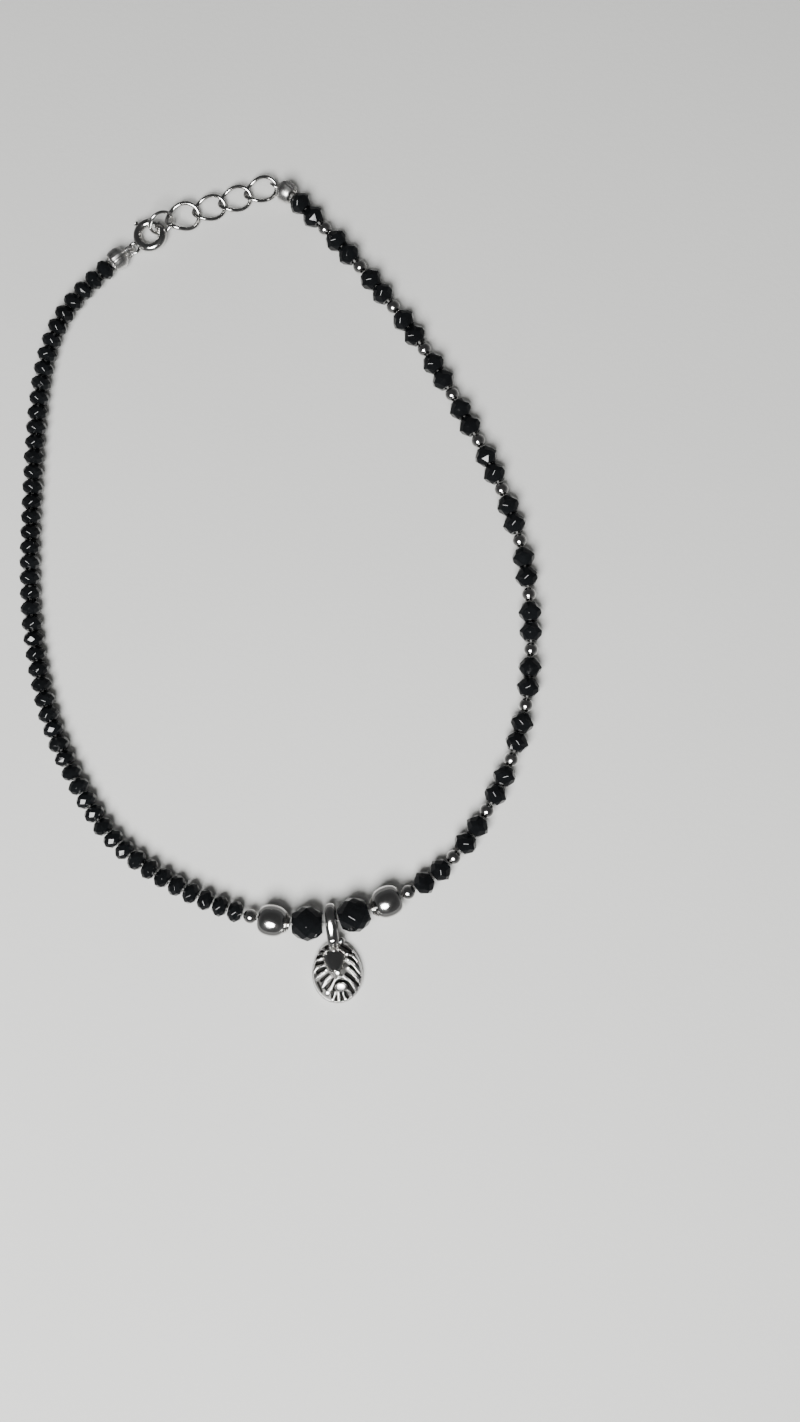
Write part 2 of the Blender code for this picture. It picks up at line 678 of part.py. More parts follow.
def make_pendant():
    """The cast drop on its bail, one soldered piece: dome and ribs, teardrop boss, seed, bail and knob."""
    middle = at(0.0)
    lay = frame(-BAIL_WIDTH / 2, BAIL_WIDTH / 2) @ Matrix.Rotation(PENDANT_SWING, 4, "Z")
    lay.translation = Vector((middle.x, middle.y, 0.0))
    bail_foot = BAIL_BACK_REACH - BAIL_LENGTH
    centre_y = bail_foot - PENDANT_HEIGHT / 2 + BAIL_STOCK

    shape = bmesh.new()
    bmesh.ops.create_uvsphere(shape, u_segments=2 * PENDANT_RIBS, v_segments=14, radius=1.0)
    every = shape.verts[:] + shape.edges[:] + shape.faces[:]
    bottom = (0.0, 0.0, 0.0)
    down = (0.0, 0.0, -1.0)
    bmesh.ops.bisect_plane(shape, geom=every, plane_co=bottom, plane_no=down, clear_outer=True, dist=1e-6)
    bmesh.ops.recalc_face_normals(shape, faces=shape.faces)
    for vert in shape.verts:
        reach = math.hypot(vert.co.x, vert.co.y)
        turn = math.atan2(vert.co.y, vert.co.x)
        widen = 1.0 - EGG_SHARE * math.sin(turn) * abs(math.cos(turn)) ** 0.5
        ridge = 1.0 if round(turn / (math.pi / PENDANT_RIBS)) % 2 == 0 else -1.0
        window = min(1.0, max(0.0, 4.0 * (reach - 0.28))) if reach < 0.99 else 0.25
        rise = PENDANT_RIM + PENDANT_DOME * (1.0 - reach**2.2) + RIB_HEIGHT / 2 * ridge * window
        vert.co.x = PENDANT_WIDTH / 2 * reach * math.cos(turn) * widen
        vert.co.y = PENDANT_HEIGHT / 2 * reach * math.sin(turn)
        vert.co.z = rise
    rim = [edge for edge in shape.edges if edge.is_boundary]
    wall = bmesh.ops.extrude_edge_only(shape, edges=rim)["geom"]
    for vert in [item for item in wall if isinstance(item, bmesh.types.BMVert)]:
        vert.co.z = 0.0
    bmesh.ops.contextual_create(shape, geom=[edge for edge in shape.edges if edge.is_boundary])
    bmesh.ops.recalc_face_normals(shape, faces=shape.faces)
    drop = bpy.data.meshes.new("pendant")
    shape.to_mesh(drop)
    shape.free()
    at_drop = lay @ Matrix.Translation((0.0, centre_y, 0.0))
    pendant = place("pendant", drop, at_drop, CAST_SILVER)

    boss = ball_mesh("boss", (BOSS_WIDTH / 2, BOSS_HEIGHT / 2, 1.0 * MM), 14, 8)
    for vert in boss.vertices:
        lower = min(0.0, vert.co.y / (BOSS_HEIGHT / 2))
        vert.co.x *= 1.0 - 0.5 * lower**2
    boss_z = PENDANT_RIM + PENDANT_DOME + BOSS_RISE - 1.0 * MM
    boss_y = PENDANT_HEIGHT * 0.12
    combine(pendant, tool("boss", boss, at_drop @ Matrix.Translation((0.0, boss_y, boss_z))), "UNION")
    seed = ball_mesh("seed", (SEED_DIAMETER / 2, SEED_DIAMETER / 2, 0.6 * MM), 10, 6)
    seed_y = boss_y - BOSS_HEIGHT / 2 - SEED_DIAMETER * 0.55
    seed_z = PENDANT_RIM + PENDANT_DOME * 0.7
    combine(pendant, tool("seed", seed, at_drop @ Matrix.Translation((0.0, seed_y, seed_z))), "UNION")

    half_y = (BAIL_LENGTH - BAIL_STOCK) / 2
    half_z = (BAIL_RISE - BAIL_STOCK) / 2
    bail_y = BAIL_BACK_REACH - BAIL_LENGTH / 2
    points = []
    for step in range(20):
        turn = 2 * math.pi * step / 20
        points.append((0.0, bail_y + half_y * math.cos(turn), BAIL_RISE / 2 + half_z * math.sin(turn)))
    bail = wire("bail", points, BAIL_STOCK, 10, closed=True)
    for vert in bail.vertices:
        share = (vert.co.y - bail_foot) / BAIL_LENGTH
        vert.co.x *= BAIL_WIDTH / BAIL_STOCK * (1.0 - BAIL_TAPER * share)
    combine(pendant, tool("bail", bail, lay), "UNION")
    knob = ball_mesh("knob", (KNOB_DIAMETER / 2,) * 3, 10, 6)
    spot = Vector((BAIL_WIDTH / 2 + KNOB_DIAMETER * 0.15, bail_foot + KNOB_RAISE, PENDANT_RIM))
    combine(pendant, tool("knob", knob, lay @ Matrix.Translation(spot)), "UNION")


make_pendant()
make_crystals()
make_barrels()
make_strands()
make_tips()
make_links()
make_clasp()

# The finished loop is moved so that its box stands on the origin
bpy.context.view_layer.update()
graph = bpy.context.evaluated_depsgraph_get()
corners = []
for piece in anklet.objects:
    if piece.type == "MESH":
        mesh = piece.evaluated_get(graph).data
        corners += [piece.matrix_world @ vert.co for vert in mesh.vertices]
low = Vector([min(corner[i] for corner in corners) for i in range(3)])
high = Vector([max(corner[i] for corner in corners) for i in range(3)])
surface.location = (-(low.x + high.x) / 2, -(low.y + high.y) / 2, -low.z)
bpy.context.view_layer.update()
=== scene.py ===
"""Payal anklet, dressed: black crystals and silver balls on a thread, a cast drop, a chain and a spring clasp."""
import math

import bmesh
import bpy
import numpy as np
from mathutils import Matrix, Vector


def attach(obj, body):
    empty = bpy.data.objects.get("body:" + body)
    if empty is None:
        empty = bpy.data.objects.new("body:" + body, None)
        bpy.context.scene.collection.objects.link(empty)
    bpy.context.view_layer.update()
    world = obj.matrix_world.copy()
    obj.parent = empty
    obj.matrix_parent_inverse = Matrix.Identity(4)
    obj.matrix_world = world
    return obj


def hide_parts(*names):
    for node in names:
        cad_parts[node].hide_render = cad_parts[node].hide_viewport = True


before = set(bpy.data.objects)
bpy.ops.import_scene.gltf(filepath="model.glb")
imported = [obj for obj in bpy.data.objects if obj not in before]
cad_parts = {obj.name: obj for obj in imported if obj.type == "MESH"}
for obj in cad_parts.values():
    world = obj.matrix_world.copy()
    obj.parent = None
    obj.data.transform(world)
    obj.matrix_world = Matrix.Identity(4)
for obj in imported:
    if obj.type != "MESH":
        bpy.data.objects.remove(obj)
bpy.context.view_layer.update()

MM = 0.001
FULL_TURN = 2 * math.pi


# Thread: a clear nylon cord that runs through every bead, from one bead tip round by the pendant to the other.
# Its line is the loop as it lies, and every piece's place is a stretch of that line, so it is worked out first.
LOOP_ROUTE = [
    (-9.5, -29.9), (-3.2, -27.8), (2.8, -24.9), (7.9, -20.6), (12.1, -14.7), (15.6, -7.6), (17.8, 0.0),
    (18.7, 8.0), (18.6, 15.6), (17.6, 23.2), (15.3, 30.8), (12.0, 38.4), (8.1, 45.8), (4.2, 52.6), (-0.3, 59.3),
    (-5.2, 65.6), (-10.3, 71.6), (-13.6, 75.2), (-17.2, 78.9), (-19.4, 80.1), (-21.8, 79.2), (-24.8, 77.9),
    (-28.3, 76.7), (-31.5, 75.6), (-34.5, 74.2), (-37.6, 72.2), (-41.2, 69.2), (-45.5, 65.2), (-49.9, 59.8),
    (-52.3, 53.6), (-53.4, 45.6), (-53.8, 34.0), (-53.8, 22.0), (-53.3, 14.0), (-51.9, 5.6), (-49.2, -3.6),
    (-45.6, -10.9), (-40.8, -18.0), (-33.6, -23.6), (-26.0, -27.4), (-17.3, -29.9),
]
LOOP_LENGTH = 285.508 * MM
LOOP_SHIFT = Vector((17.261, -19.953, 0.064)) * MM
LOOP_STEPS = 24
LINE_HEIGHTS = [
    (0.0, 2.45), (5.39, 2.45), (5.75, 2.25), (10.1, 2.25), (12.58, 1.75), (129.5, 1.75), (129.98, 1.7),
    (133.63, 0.95), (137.77, 0.8), (145.95, 0.8), (150.16, 1.4), (152.46, 1.4), (157.12, 0.85), (160.81, 1.7),
    (161.17, 1.55), (272.93, 1.55), (275.41, 2.25), (279.76, 2.25), (280.12, 2.45), (285.51, 2.45),
]
THREAD_DIAMETER = 0.34 * MM
THREAD_START = 160.3 * MM
THREAD_END = 130.5 * MM
THREAD_STEP = 0.5 * MM


def closed_line():
    """Points of the loop's line in metres, a smooth closed cubic, and how far along it each one is."""
    knots = np.array(LOOP_ROUTE)
    count = len(knots)
    gaps = np.linalg.norm(np.roll(knots, -1, axis=0) - knots, axis=1)
    system = np.zeros((count, count))
    bends = np.zeros((count, 2))
    for i in range(count):
        after = (i + 1) % count
        system[i, i - 1] += gaps[i - 1]
        system[i, i] += 2 * (gaps[i - 1] + gaps[i])
        system[i, after] += gaps[i]
        bends[i] = 6 * ((knots[after] - knots[i]) / gaps[i] - (knots[i] - knots[i - 1]) / gaps[i - 1])
    curvature = np.linalg.solve(system, bends)
    line = []
    for i in range(count):
        after = (i + 1) % count
        for step in range(LOOP_STEPS):
            t = step / LOOP_STEPS
            u = 1 - t
            pull = (u**3 - u) * curvature[i] + (t**3 - t) * curvature[after]
            line.append(u * knots[i] + t * knots[after] + gaps[i] ** 2 / 6 * pull)
    line.append(line[0])
    line = np.array(line)
    along = np.concatenate([[0.0], np.cumsum(np.linalg.norm(np.diff(line, axis=0), axis=1))])
    scale = LOOP_LENGTH / along[-1]
    return line * scale, along * scale


line_points, line_travel = closed_line()
height_places = [place * MM for place, _ in LINE_HEIGHTS]
height_values = [height * MM for _, height in LINE_HEIGHTS]


def on_line(distance):
    """The point of the loop's line at a distance from the bail, going round to the right."""
    distance %= LOOP_LENGTH
    x = np.interp(distance, line_travel, line_points[:, 0])
    y = np.interp(distance, line_travel, line_points[:, 1])
    return Vector((x, y, np.interp(distance, height_places, height_values))) + LOOP_SHIFT


def aimed(first, last, past, roll=0.0):
    """A frame on the line between two points, some way past the first: X along it, Y to its left, Z up."""
    along = (last - first).normalized()
    left = Vector((0.0, 0.0, 1.0)).cross(along).normalized()
    turn = Matrix((along, left, along.cross(left))).transposed().to_4x4()
    return Matrix.Translation(first + along * past) @ turn @ Matrix.Rotation(roll, 4, "X")


def seat(start, end, roll=0.0):
    """The frame midway between two places on the loop, given in millimetres from the bail."""
    first = on_line(start * MM)
    last = on_line(end * MM)
    return aimed(first, last, (last - first).length / 2, roll)


def added(name, data):
    """A new object in the scene."""
    item = bpy.data.objects.new(name, data)
    bpy.context.scene.collection.objects.link(item)
    return item


def show(name, mesh, finish, body="anklet"):
    """A piece of the anklet in its finish, whose place is in its mesh, riding on a body."""
    piece = added(name, mesh)
    mesh.materials.clear()
    mesh.materials.append(finish)
    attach(piece, body)
    return piece


def baked(helper, name):
    """The helper's evaluated mesh as plain data; the helper is removed."""
    bpy.context.view_layer.update()
    graph = bpy.context.evaluated_depsgraph_get()
    mesh = bpy.data.meshes.new_from_object(helper.evaluated_get(graph), depsgraph=graph)
    mesh.name = name
    bpy.data.objects.remove(helper, do_unlink=True)
    return mesh


def node_group(name, kind, inputs, outputs):
    """A node group with titled inputs and outputs, and the two nodes at its ends."""
    tree = bpy.data.node_groups.new(name, kind)
    for direction, sockets in (("INPUT", inputs), ("OUTPUT", outputs)):
        for title, socket in sockets.items():
            tree.interface.new_socket(title, in_out=direction, socket_type="NodeSocket" + socket)
    return tree, tree.nodes.new("NodeGroupInput"), tree.nodes.new("NodeGroupOutput")


def node(tree, kind, constants=None):
    """A new node with constants on some of its sockets, each named by its title or its number."""
    made = tree.nodes.new(kind)
    for socket, value in (constants or {}).items():
        made.inputs[socket].default_value = value
    return made


def linked(tree, *links):
    """Links nodes of a tree: each link is a node and its output, then a node and its input."""
    for source, output, target, entry in links:
        tree.links.new(source.outputs[output], target.inputs[entry])


def wire_tree():
    """Geometry nodes that draw round wire of a given radius along curves."""
    inputs = {"Geometry": "Geometry", "Wire radius": "Float", "Sides": "Int", "Finish": "Material"}
    tree, given, result = node_group("drawn wire", "GeometryNodeTree", inputs, {"Geometry": "Geometry"})
    section = node(tree, "GeometryNodeCurvePrimitiveCircle")
    sweep = node(tree, "GeometryNodeCurveToMesh", {"Fill Caps": True})
    smooth = node(tree, "GeometryNodeSetShadeSmooth")
    real = node(tree, "GeometryNodeRealizeInstances")
    finish = node(tree, "GeometryNodeSetMaterial")
    linked(
        tree, (given, "Wire radius", section, "Radius"), (given, "Sides", section, "Resolution"),
        (given, "Geometry", sweep, "Curve"), (section, "Curve", sweep, "Profile Curve"),
        (sweep, "Mesh", smooth, "Geometry"), (smooth, "Geometry", real, "Geometry"),
        (real, "Geometry", finish, "Geometry"), (given, "Finish", finish, "Material"),
        (finish, "Geometry", result, "Geometry"),
    )
    return tree


wire_nodes = wire_tree()


def along_path(name, path, tree, values, closed):
    """The plain mesh that a tree of geometry nodes makes along a path of points."""
    curve = bpy.data.curves.new(name, "CURVE")
    curve.dimensions = "3D"
    spline = curve.splines.new("POLY")
    spline.points.add(len(path) - 1)
    for point, place in zip(spline.points, path):
        point.co = (*place, 1.0)
    spline.use_cyclic_u = closed
    helper = added(name, curve)
    step = helper.modifiers.new(name, "NODES")
    step.node_group = tree
    for item in tree.interface.items_tree:
        if item.in_out == "INPUT" and item.name in values:
            step[item.identifier] = values[item.name]
    return baked(helper, name)


def drawn_wire(name, path, diameter, sides, finish, closed=True):
    """Wire drawn along a path, as a plain mesh."""
    values = {"Wire radius": diameter / 2, "Sides": sides, "Finish": finish}
    mesh = along_path(name, path, wire_nodes, values, closed)
    shape = bmesh.new()
    shape.from_mesh(mesh)
    bmesh.ops.remove_doubles(shape, verts=shape.verts, dist=1e-7)
    bmesh.ops.recalc_face_normals(shape, faces=shape.faces)
    shape.to_mesh(mesh)
    shape.free()
    mesh.set_sharp_from_angle(angle=math.radians(50))
    return mesh


def surface_group():
    """Shader nodes for what handling leaves on a hard surface: soft smudges and fine hairline marks."""
    inputs = {"Vector": "Vector", "Smudge scale": "Float", "Hairline scale": "Float"}
    outputs = {"Smudge": "Float", "Hairlines": "Float"}
    group, given, result = node_group("handling marks", "ShaderNodeTree", inputs, outputs)
    cloud = node(group, "ShaderNodeTexNoise", {"Detail": 4.0, "Roughness": 0.6})
    soften = node(group, "ShaderNodeMapRange", {"From Min": 0.42, "From Max": 0.68})
    stretch = node(group, "ShaderNodeMapping", {"Rotation": (0.4, 0.7, 0.5), "Scale": (1.0, 0.12, 0.12)})
    lines = node(group, "ShaderNodeTexVoronoi")
    lines.feature = "DISTANCE_TO_EDGE"
    thin = node(group, "ShaderNodeMapRange", {"From Min": 0.03, "From Max": 0.0})
    linked(
        group, (given, "Vector", cloud, "Vector"), (given, "Smudge scale", cloud, "Scale"),
        (cloud, "Fac", soften, "Value"), (soften, "Result", result, "Smudge"),
        (given, "Vector", stretch, "Vector"), (stretch, "Vector", lines, "Vector"),
        (given, "Hairline scale", lines, "Scale"), (lines, "Distance", thin, "Value"),
        (thin, "Result", result, "Hairlines"),
    )
    return group


handling = surface_group()


def finish_base(name, smudge_scale, hairline_scale):
    """A material with its shader, object coordinates and the handling marks, for one finish."""
    finish = bpy.data.materials.new(name)
    finish.use_nodes = True
    where = node(finish.node_tree, "ShaderNodeTexCoord")
    marks = finish.node_tree.nodes.new("ShaderNodeGroup")
    marks.node_tree = handling
    marks.inputs["Smudge scale"].default_value = smudge_scale
    marks.inputs["Hairline scale"].default_value = hairline_scale
    linked(finish.node_tree, (where, "Object", marks, "Vector"))
    return finish, finish.node_tree.nodes["Principled BSDF"], where, marks


def ranged(finish, value, low, high, target):
    """Feeds a socket from a 0 to 1 value stretched between two ends."""
    stretch = node(finish.node_tree, "ShaderNodeMapRange", {"To Min": low, "To Max": high})
    finish.node_tree.links.new(value, stretch.inputs["Value"])
    finish.node_tree.links.new(stretch.outputs["Result"], target)


def blended(finish, factor, first, second, target):
    """Feeds a colour socket from two colours blended by a value."""
    mix = node(finish.node_tree, "ShaderNodeMix")
    mix.data_type = "RGBA"
    mix.inputs["A"].default_value = (*first, 1.0)
    mix.inputs["B"].default_value = (*second, 1.0)
    finish.node_tree.links.new(factor, mix.inputs["Factor"])
    finish.node_tree.links.new(mix.outputs["Result"], target)
    return mix


def bumped(finish, value, distance, shader, strength=0.6):
    """A fine bump of the given depth on the shader's normal."""
    bump = node(finish.node_tree, "ShaderNodeBump", {"Distance": distance, "Strength": strength})
    finish.node_tree.links.new(value, bump.inputs["Height"])
    finish.node_tree.links.new(bump.outputs["Normal"], shader.inputs["Normal"])


def thread_finish():
    """Clear nylon, dulled by wear, coloured a dark grey as painted shade for the gaps between the beads, in random
    smudges of tone.
    """
    finish, shader, _, marks = finish_base("clear nylon thread", 900.0, 5000.0)
    shader.inputs["IOR"].default_value = 1.53
    shader.inputs["Transmission Weight"].default_value = 0.35
    smudge = marks.outputs["Smudge"]
    # painted shade: these greys are darker than the clear nylon and stand for the shade the thread lies in between
    # the beads
    blended(finish, smudge, (0.30, 0.30, 0.29), (0.42, 0.42, 0.41), shader.inputs["Base Color"])
    ranged(finish, smudge, 0.18, 0.34, shader.inputs["Roughness"])
    return finish


thread_path = []
place = THREAD_START
while place < LOOP_LENGTH + THREAD_END:
    thread_path.append(on_line(place))
    place += THREAD_STEP
nylon = thread_finish()
thread = show("thread", drawn_wire("thread", thread_path, THREAD_DIAMETER, 8, nylon, closed=False), nylon)
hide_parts("small_bead_strand", "silver_ball_strand")


# Small crystals: fifty black glass rondelles on the left half, fire polished, with rows of eight small facets all
# round and a drilled hole. They are threaded close together, each turned its own way and a little askew.
SMALL_DIAMETER = 3.1 * MM
SMALL_LENGTH = 2.0 * MM
SMALL_BEADS = 50
SMALL_FIRST = 162.173 * MM
SMALL_PITCH = 2.24 * MM
SMALL_TILT = math.radians(7)
BORE_RADIUS = 0.5 * MM
CUT_SIDES = 8
FACET_EDGE = 0.03 * MM
SMALL_ROWS = [(0.58, -1.0), (0.84, -0.62), (0.985, -0.25), (0.985, 0.25), (0.84, 0.62), (0.58, 1.0)]


def as_mesh(shape, name):
    """A bmesh's shape as a new mesh."""
    mesh = bpy.data.meshes.new(name)
    shape.to_mesh(mesh)
    shape.free()
    return mesh


def cut_bead(name, diameter, length, rows, sides, edge):
    """A faceted bead about Z: rings of corners, each turned half a step from the last, with facets between them."""
    shape = bmesh.new()

    def corners(radius, height, shift):
        ring = []
        for side in range(sides):
            turn = FULL_TURN * (side + shift) / sides
            ring.append(shape.verts.new((radius * math.cos(turn), radius * math.sin(turn), height * length / 2)))
        return ring

    rings = []
    for number, (share, height) in enumerate(rows):
        rings.append(corners(diameter / 2 * share, height, 0.5 * (number % 2)))
    for number, (lower, upper) in enumerate(zip(rings, rings[1:])):
        for side in range(sides):
            after = (side + 1) % sides
            if number % 2 == 0:
                shape.faces.new((lower[side], lower[after], upper[side]))
                shape.faces.new((lower[after], upper[after], upper[side]))
            else:
                shape.faces.new((lower[side], upper[after], upper[side]))
                shape.faces.new((lower[side], lower[after], upper[after]))
    bores = []
    for ring, height in ((rings[0], rows[0][1]), (rings[-1], rows[-1][1])):
        bore = corners(BORE_RADIUS, height, 0.0)
        for side in range(sides):
            after = (side + 1) % sides
            shape.faces.new((ring[side], bore[side], bore[after], ring[after]))
        bores.append(bore)
    for side in range(sides):
        after = (side + 1) % sides
        shape.faces.new((bores[0][side], bores[1][side], bores[1][after], bores[0][after]))
    bmesh.ops.recalc_face_normals(shape, faces=shape.faces)
    bmesh.ops.dissolve_limit(shape, angle_limit=math.radians(1.5), verts=shape.verts, edges=shape.edges)
    bead = added(name, as_mesh(shape, name))
    soften = bead.modifiers.new("polished edges", "BEVEL")
    soften.width = edge
    soften.segments = 1
    soften.limit_method = "ANGLE"
    soften.angle_limit = math.radians(8)
    return baked(bead, name)


def bead_tree():
    """Geometry nodes that thread a bead on each point of a line, turned at random about it."""
    inputs = {
        "Geometry": "Geometry", "Bead": "Object", "Tilt": "Float", "Size change": "Float", "Seed": "Int",
        "Finish": "Material",
    }
    tree, given, result = node_group("threaded beads", "GeometryNodeTree", inputs, {"Geometry": "Geometry"})
    points = node(tree, "GeometryNodeCurveToPoints")
    points.mode = "EVALUATED"
    bead = node(tree, "GeometryNodeObjectInfo")
    roll = node(tree, "FunctionNodeRandomValue", {3: FULL_TURN})
    turn = node(tree, "FunctionNodeAxisAngleToRotation", {"Axis": (0.0, 0.0, 1.0)})
    lean_seed = node(tree, "FunctionNodeIntegerMath", {1: 19})
    lowest_lean = node(tree, "ShaderNodeMath", {1: -1.0})
    lowest_lean.operation = "MULTIPLY"
    lean = node(tree, "FunctionNodeRandomValue")
    nod = node(tree, "FunctionNodeAxisAngleToRotation", {"Axis": (1.0, 0.0, 0.0)})
    rolled = node(tree, "FunctionNodeRotateRotation")
    rolled.rotation_space = "LOCAL"
    leaning = node(tree, "FunctionNodeRotateRotation")
    leaning.rotation_space = "LOCAL"
    size_seed = node(tree, "FunctionNodeIntegerMath", {1: 7})
    smallest = node(tree, "ShaderNodeMath", {0: 1.0})
    smallest.operation = "SUBTRACT"
    size = node(tree, "FunctionNodeRandomValue", {3: 1.0})
    threaded_on = node(tree, "GeometryNodeInstanceOnPoints")
    real = node(tree, "GeometryNodeRealizeInstances")
    finish = node(tree, "GeometryNodeSetMaterial")
    linked(
        tree, (given, "Geometry", points, "Curve"), (given, "Bead", bead, "Object"),
        (given, "Seed", roll, "Seed"), (given, "Seed", size_seed, 0), (given, "Seed", lean_seed, 0),
        (size_seed, 0, size, "Seed"), (lean_seed, 0, lean, "Seed"), (given, "Tilt", lowest_lean, 0),
        (lowest_lean, 0, lean, 2), (given, "Tilt", lean, 3), (roll, 1, turn, "Angle"), (lean, 1, nod, "Angle"),
        (points, "Rotation", rolled, "Rotation"), (turn, "Rotation", rolled, "Rotate By"),
        (rolled, "Rotation", leaning, "Rotation"), (nod, "Rotation", leaning, "Rotate By"),
        (given, "Size change", smallest, 1), (smallest, 0, size, 2), (points, "Points", threaded_on, "Points"),
        (bead, "Geometry", threaded_on, "Instance"), (leaning, "Rotation", threaded_on, "Rotation"),
        (size, 1, threaded_on, "Scale"), (threaded_on, "Instances", real, "Geometry"),
        (real, "Geometry", finish, "Geometry"), (given, "Finish", finish, "Material"),
        (finish, "Geometry", result, "Geometry"),
    )
    return tree


bead_nodes = bead_tree()


def threaded(name, places, bead_mesh, finish, seed, tilt=0.0, size_change=0.0):
    """One bead mesh threaded at each place along the loop, as a plain mesh."""
    bead = added("bead", bead_mesh)
    values = {"Bead": bead, "Tilt": tilt, "Size change": size_change, "Seed": seed, "Finish": finish}
    mesh = along_path(name, [on_line(place) for place in places], bead_nodes, values, closed=False)
    bpy.data.objects.remove(bead, do_unlink=True)
    return mesh


def crystal_finish():
    """Opaque black glass, fire polished: deep black, with a faint cool body and light smudges on its facets."""
    finish, shader, where, marks = finish_base("black crystal", 620.0, 2600.0)
    tone = node(finish.node_tree, "ShaderNodeTexNoise", {"Scale": 260.0, "Detail": 2.0})
    linked(finish.node_tree, (where, "Object", tone, "Vector"))
    shader.inputs["IOR"].default_value = 1.56
    dark, light = (0.0018, 0.0019, 0.0021), (0.0075, 0.0085, 0.0095)
    blended(finish, tone.outputs["Fac"], dark, light, shader.inputs["Base Color"])
    ranged(finish, marks.outputs["Smudge"], 0.03, 0.11, shader.inputs["Roughness"])
    return finish


black_crystal = crystal_finish()
small_bead = cut_bead("small crystal", SMALL_DIAMETER, SMALL_LENGTH, SMALL_ROWS, CUT_SIDES, FACET_EDGE)
small_places = [SMALL_FIRST + SMALL_PITCH * number for number in range(SMALL_BEADS)]
small_mesh = threaded("small_crystals", small_places, small_bead, black_crystal, 11, SMALL_TILT, 0.03)
small_crystals = show("small_crystals", small_mesh, black_crystal)
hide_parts("small_bead_strand")


# Large crystals: fifteen pairs of black glass rondelles on the right half, thicker than the small ones, with eight
# rhombic facets round the girdle and a row of kites on each side. A silver ball stands between two pairs.
LARGE_DIAMETER = 3.5 * MM
LARGE_LENGTH = 2.62 * MM
LARGE_PAIRS = 15
LARGE_FIRST = 13.885 * MM
LARGE_PITCH = 2.86 * MM
PAIR_PITCH = 7.96 * MM
LARGE_TILT = math.radians(5)
LARGE_ROWS = [(0.54, -1.0), (0.90, -0.33), (1.0, 0.0), (0.90, 0.33), (0.54, 1.0)]

large_bead = cut_bead("large crystal", LARGE_DIAMETER, LARGE_LENGTH, LARGE_ROWS, CUT_SIDES, FACET_EDGE)
large_places = []
for pair in range(LARGE_PAIRS):
    first = LARGE_FIRST + PAIR_PITCH * pair
    large_places += [first, first + LARGE_PITCH]
large_mesh = threaded("large_crystals", large_places, large_bead, black_crystal, 5, LARGE_TILT, 0.02)
large_crystals = show("large_crystals", large_mesh, black_crystal)
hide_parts(*[f"crystal_{number:02d}" for number in range(1, 2 * LARGE_PAIRS + 1)])


# Centre crystals: one big round black bead on each side of the bail, pressed from black glass and fire polished.
# Six rows of small facets cover each one.
CENTRE_DIAMETER = 4.9 * MM
CENTRE_LENGTH = 4.2 * MM
CENTRE_PLACES = [3.285 * MM, 282.223 * MM]
CENTRE_ROLLS = [math.radians(35), math.radians(30)]
CENTRE_SIDES = 10
CENTRE_ROWS = [
    (0.573, -1.0), (0.80, -0.66), (0.951, -0.317), (1.0, 0.0), (0.951, 0.317), (0.80, 0.66), (0.573, 1.0),
]
ALONG = Matrix.Rotation(math.pi / 2, 4, "Y")


def gathered(name, placed):
    """One mesh made of copies of others, each put in its place."""
    joined = bmesh.new()
    for mesh, place in placed:
        one = mesh.copy()
        one.transform(place)
        joined.from_mesh(one)
    return as_mesh(joined, name)


centre_bead = cut_bead("centre crystal", CENTRE_DIAMETER, CENTRE_LENGTH, CENTRE_ROWS, CENTRE_SIDES, FACET_EDGE)
centre_placed = []
for spot, roll in zip(CENTRE_PLACES, CENTRE_ROLLS):
    first, last = on_line(spot - CENTRE_LENGTH / 2), on_line(spot + CENTRE_LENGTH / 2)
    centre_placed.append((centre_bead, aimed(first, last, (last - first).length / 2, roll) @ ALONG))
centre_crystals = show("centre_crystals", gathered("centre_crystals", centre_placed), black_crystal)
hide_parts("centre_crystal_right", "centre_crystal_left")


# Silver balls: 2 mm drilled balls, one between each two pairs of crystals and one outside each barrel.
# They are polished bright, with a small flat round each hole.
BALL_DIAMETER = 2.0 * MM
BALL_HOLE = 0.7 * MM
BALL_FIRST = 19.295 * MM
BALL_RIGHT = 11.335 * MM
BALL_LEFT = 274.173 * MM


def turned(name, profile, sides, smooth_angle=40):
    """A solid turned about Z from a closed half section of (radius, height)."""
    shape = bmesh.new()
    ring = [shape.verts.new((radius, 0.0, height)) for radius, height in profile]
    edges = [shape.edges.new((ring[i], ring[(i + 1) % len(ring)])) for i in range(len(ring))]
    bmesh.ops.spin(shape, geom=ring + edges, cent=(0, 0, 0), axis=(0, 0, 1), angle=FULL_TURN, steps=sides,
                   use_merge=True)
    bmesh.ops.remove_doubles(shape, verts=shape.verts, dist=1e-7)
    bmesh.ops.recalc_face_normals(shape, faces=shape.faces)
    mesh = as_mesh(shape, name)
    mesh.shade_smooth()
    mesh.set_sharp_from_angle(angle=math.radians(smooth_angle))
    return mesh


def silver_finish(name, smudge, shine, tone):
    """Polished silver: bright and a little warm, with smudges, hairlines and a trace of tarnish."""
    finish, shader, where, marks = finish_base(name, smudge, 3000.0)
    shader.inputs["Metallic"].default_value = 1.0
    cloud = node(finish.node_tree, "ShaderNodeTexNoise", {"Scale": 340.0, "Detail": 3.0})
    linked(finish.node_tree, (where, "Object", cloud, "Vector"))
    dull = tuple(value * 0.86 for value in tone)
    blended(finish, cloud.outputs["Fac"], dull, tone, shader.inputs["Base Color"])
    ranged(finish, marks.outputs["Smudge"], shine, shine * 1.7, shader.inputs["Roughness"])
    bumped(finish, marks.outputs["Hairlines"], 0.0008 * MM, shader)
    return finish


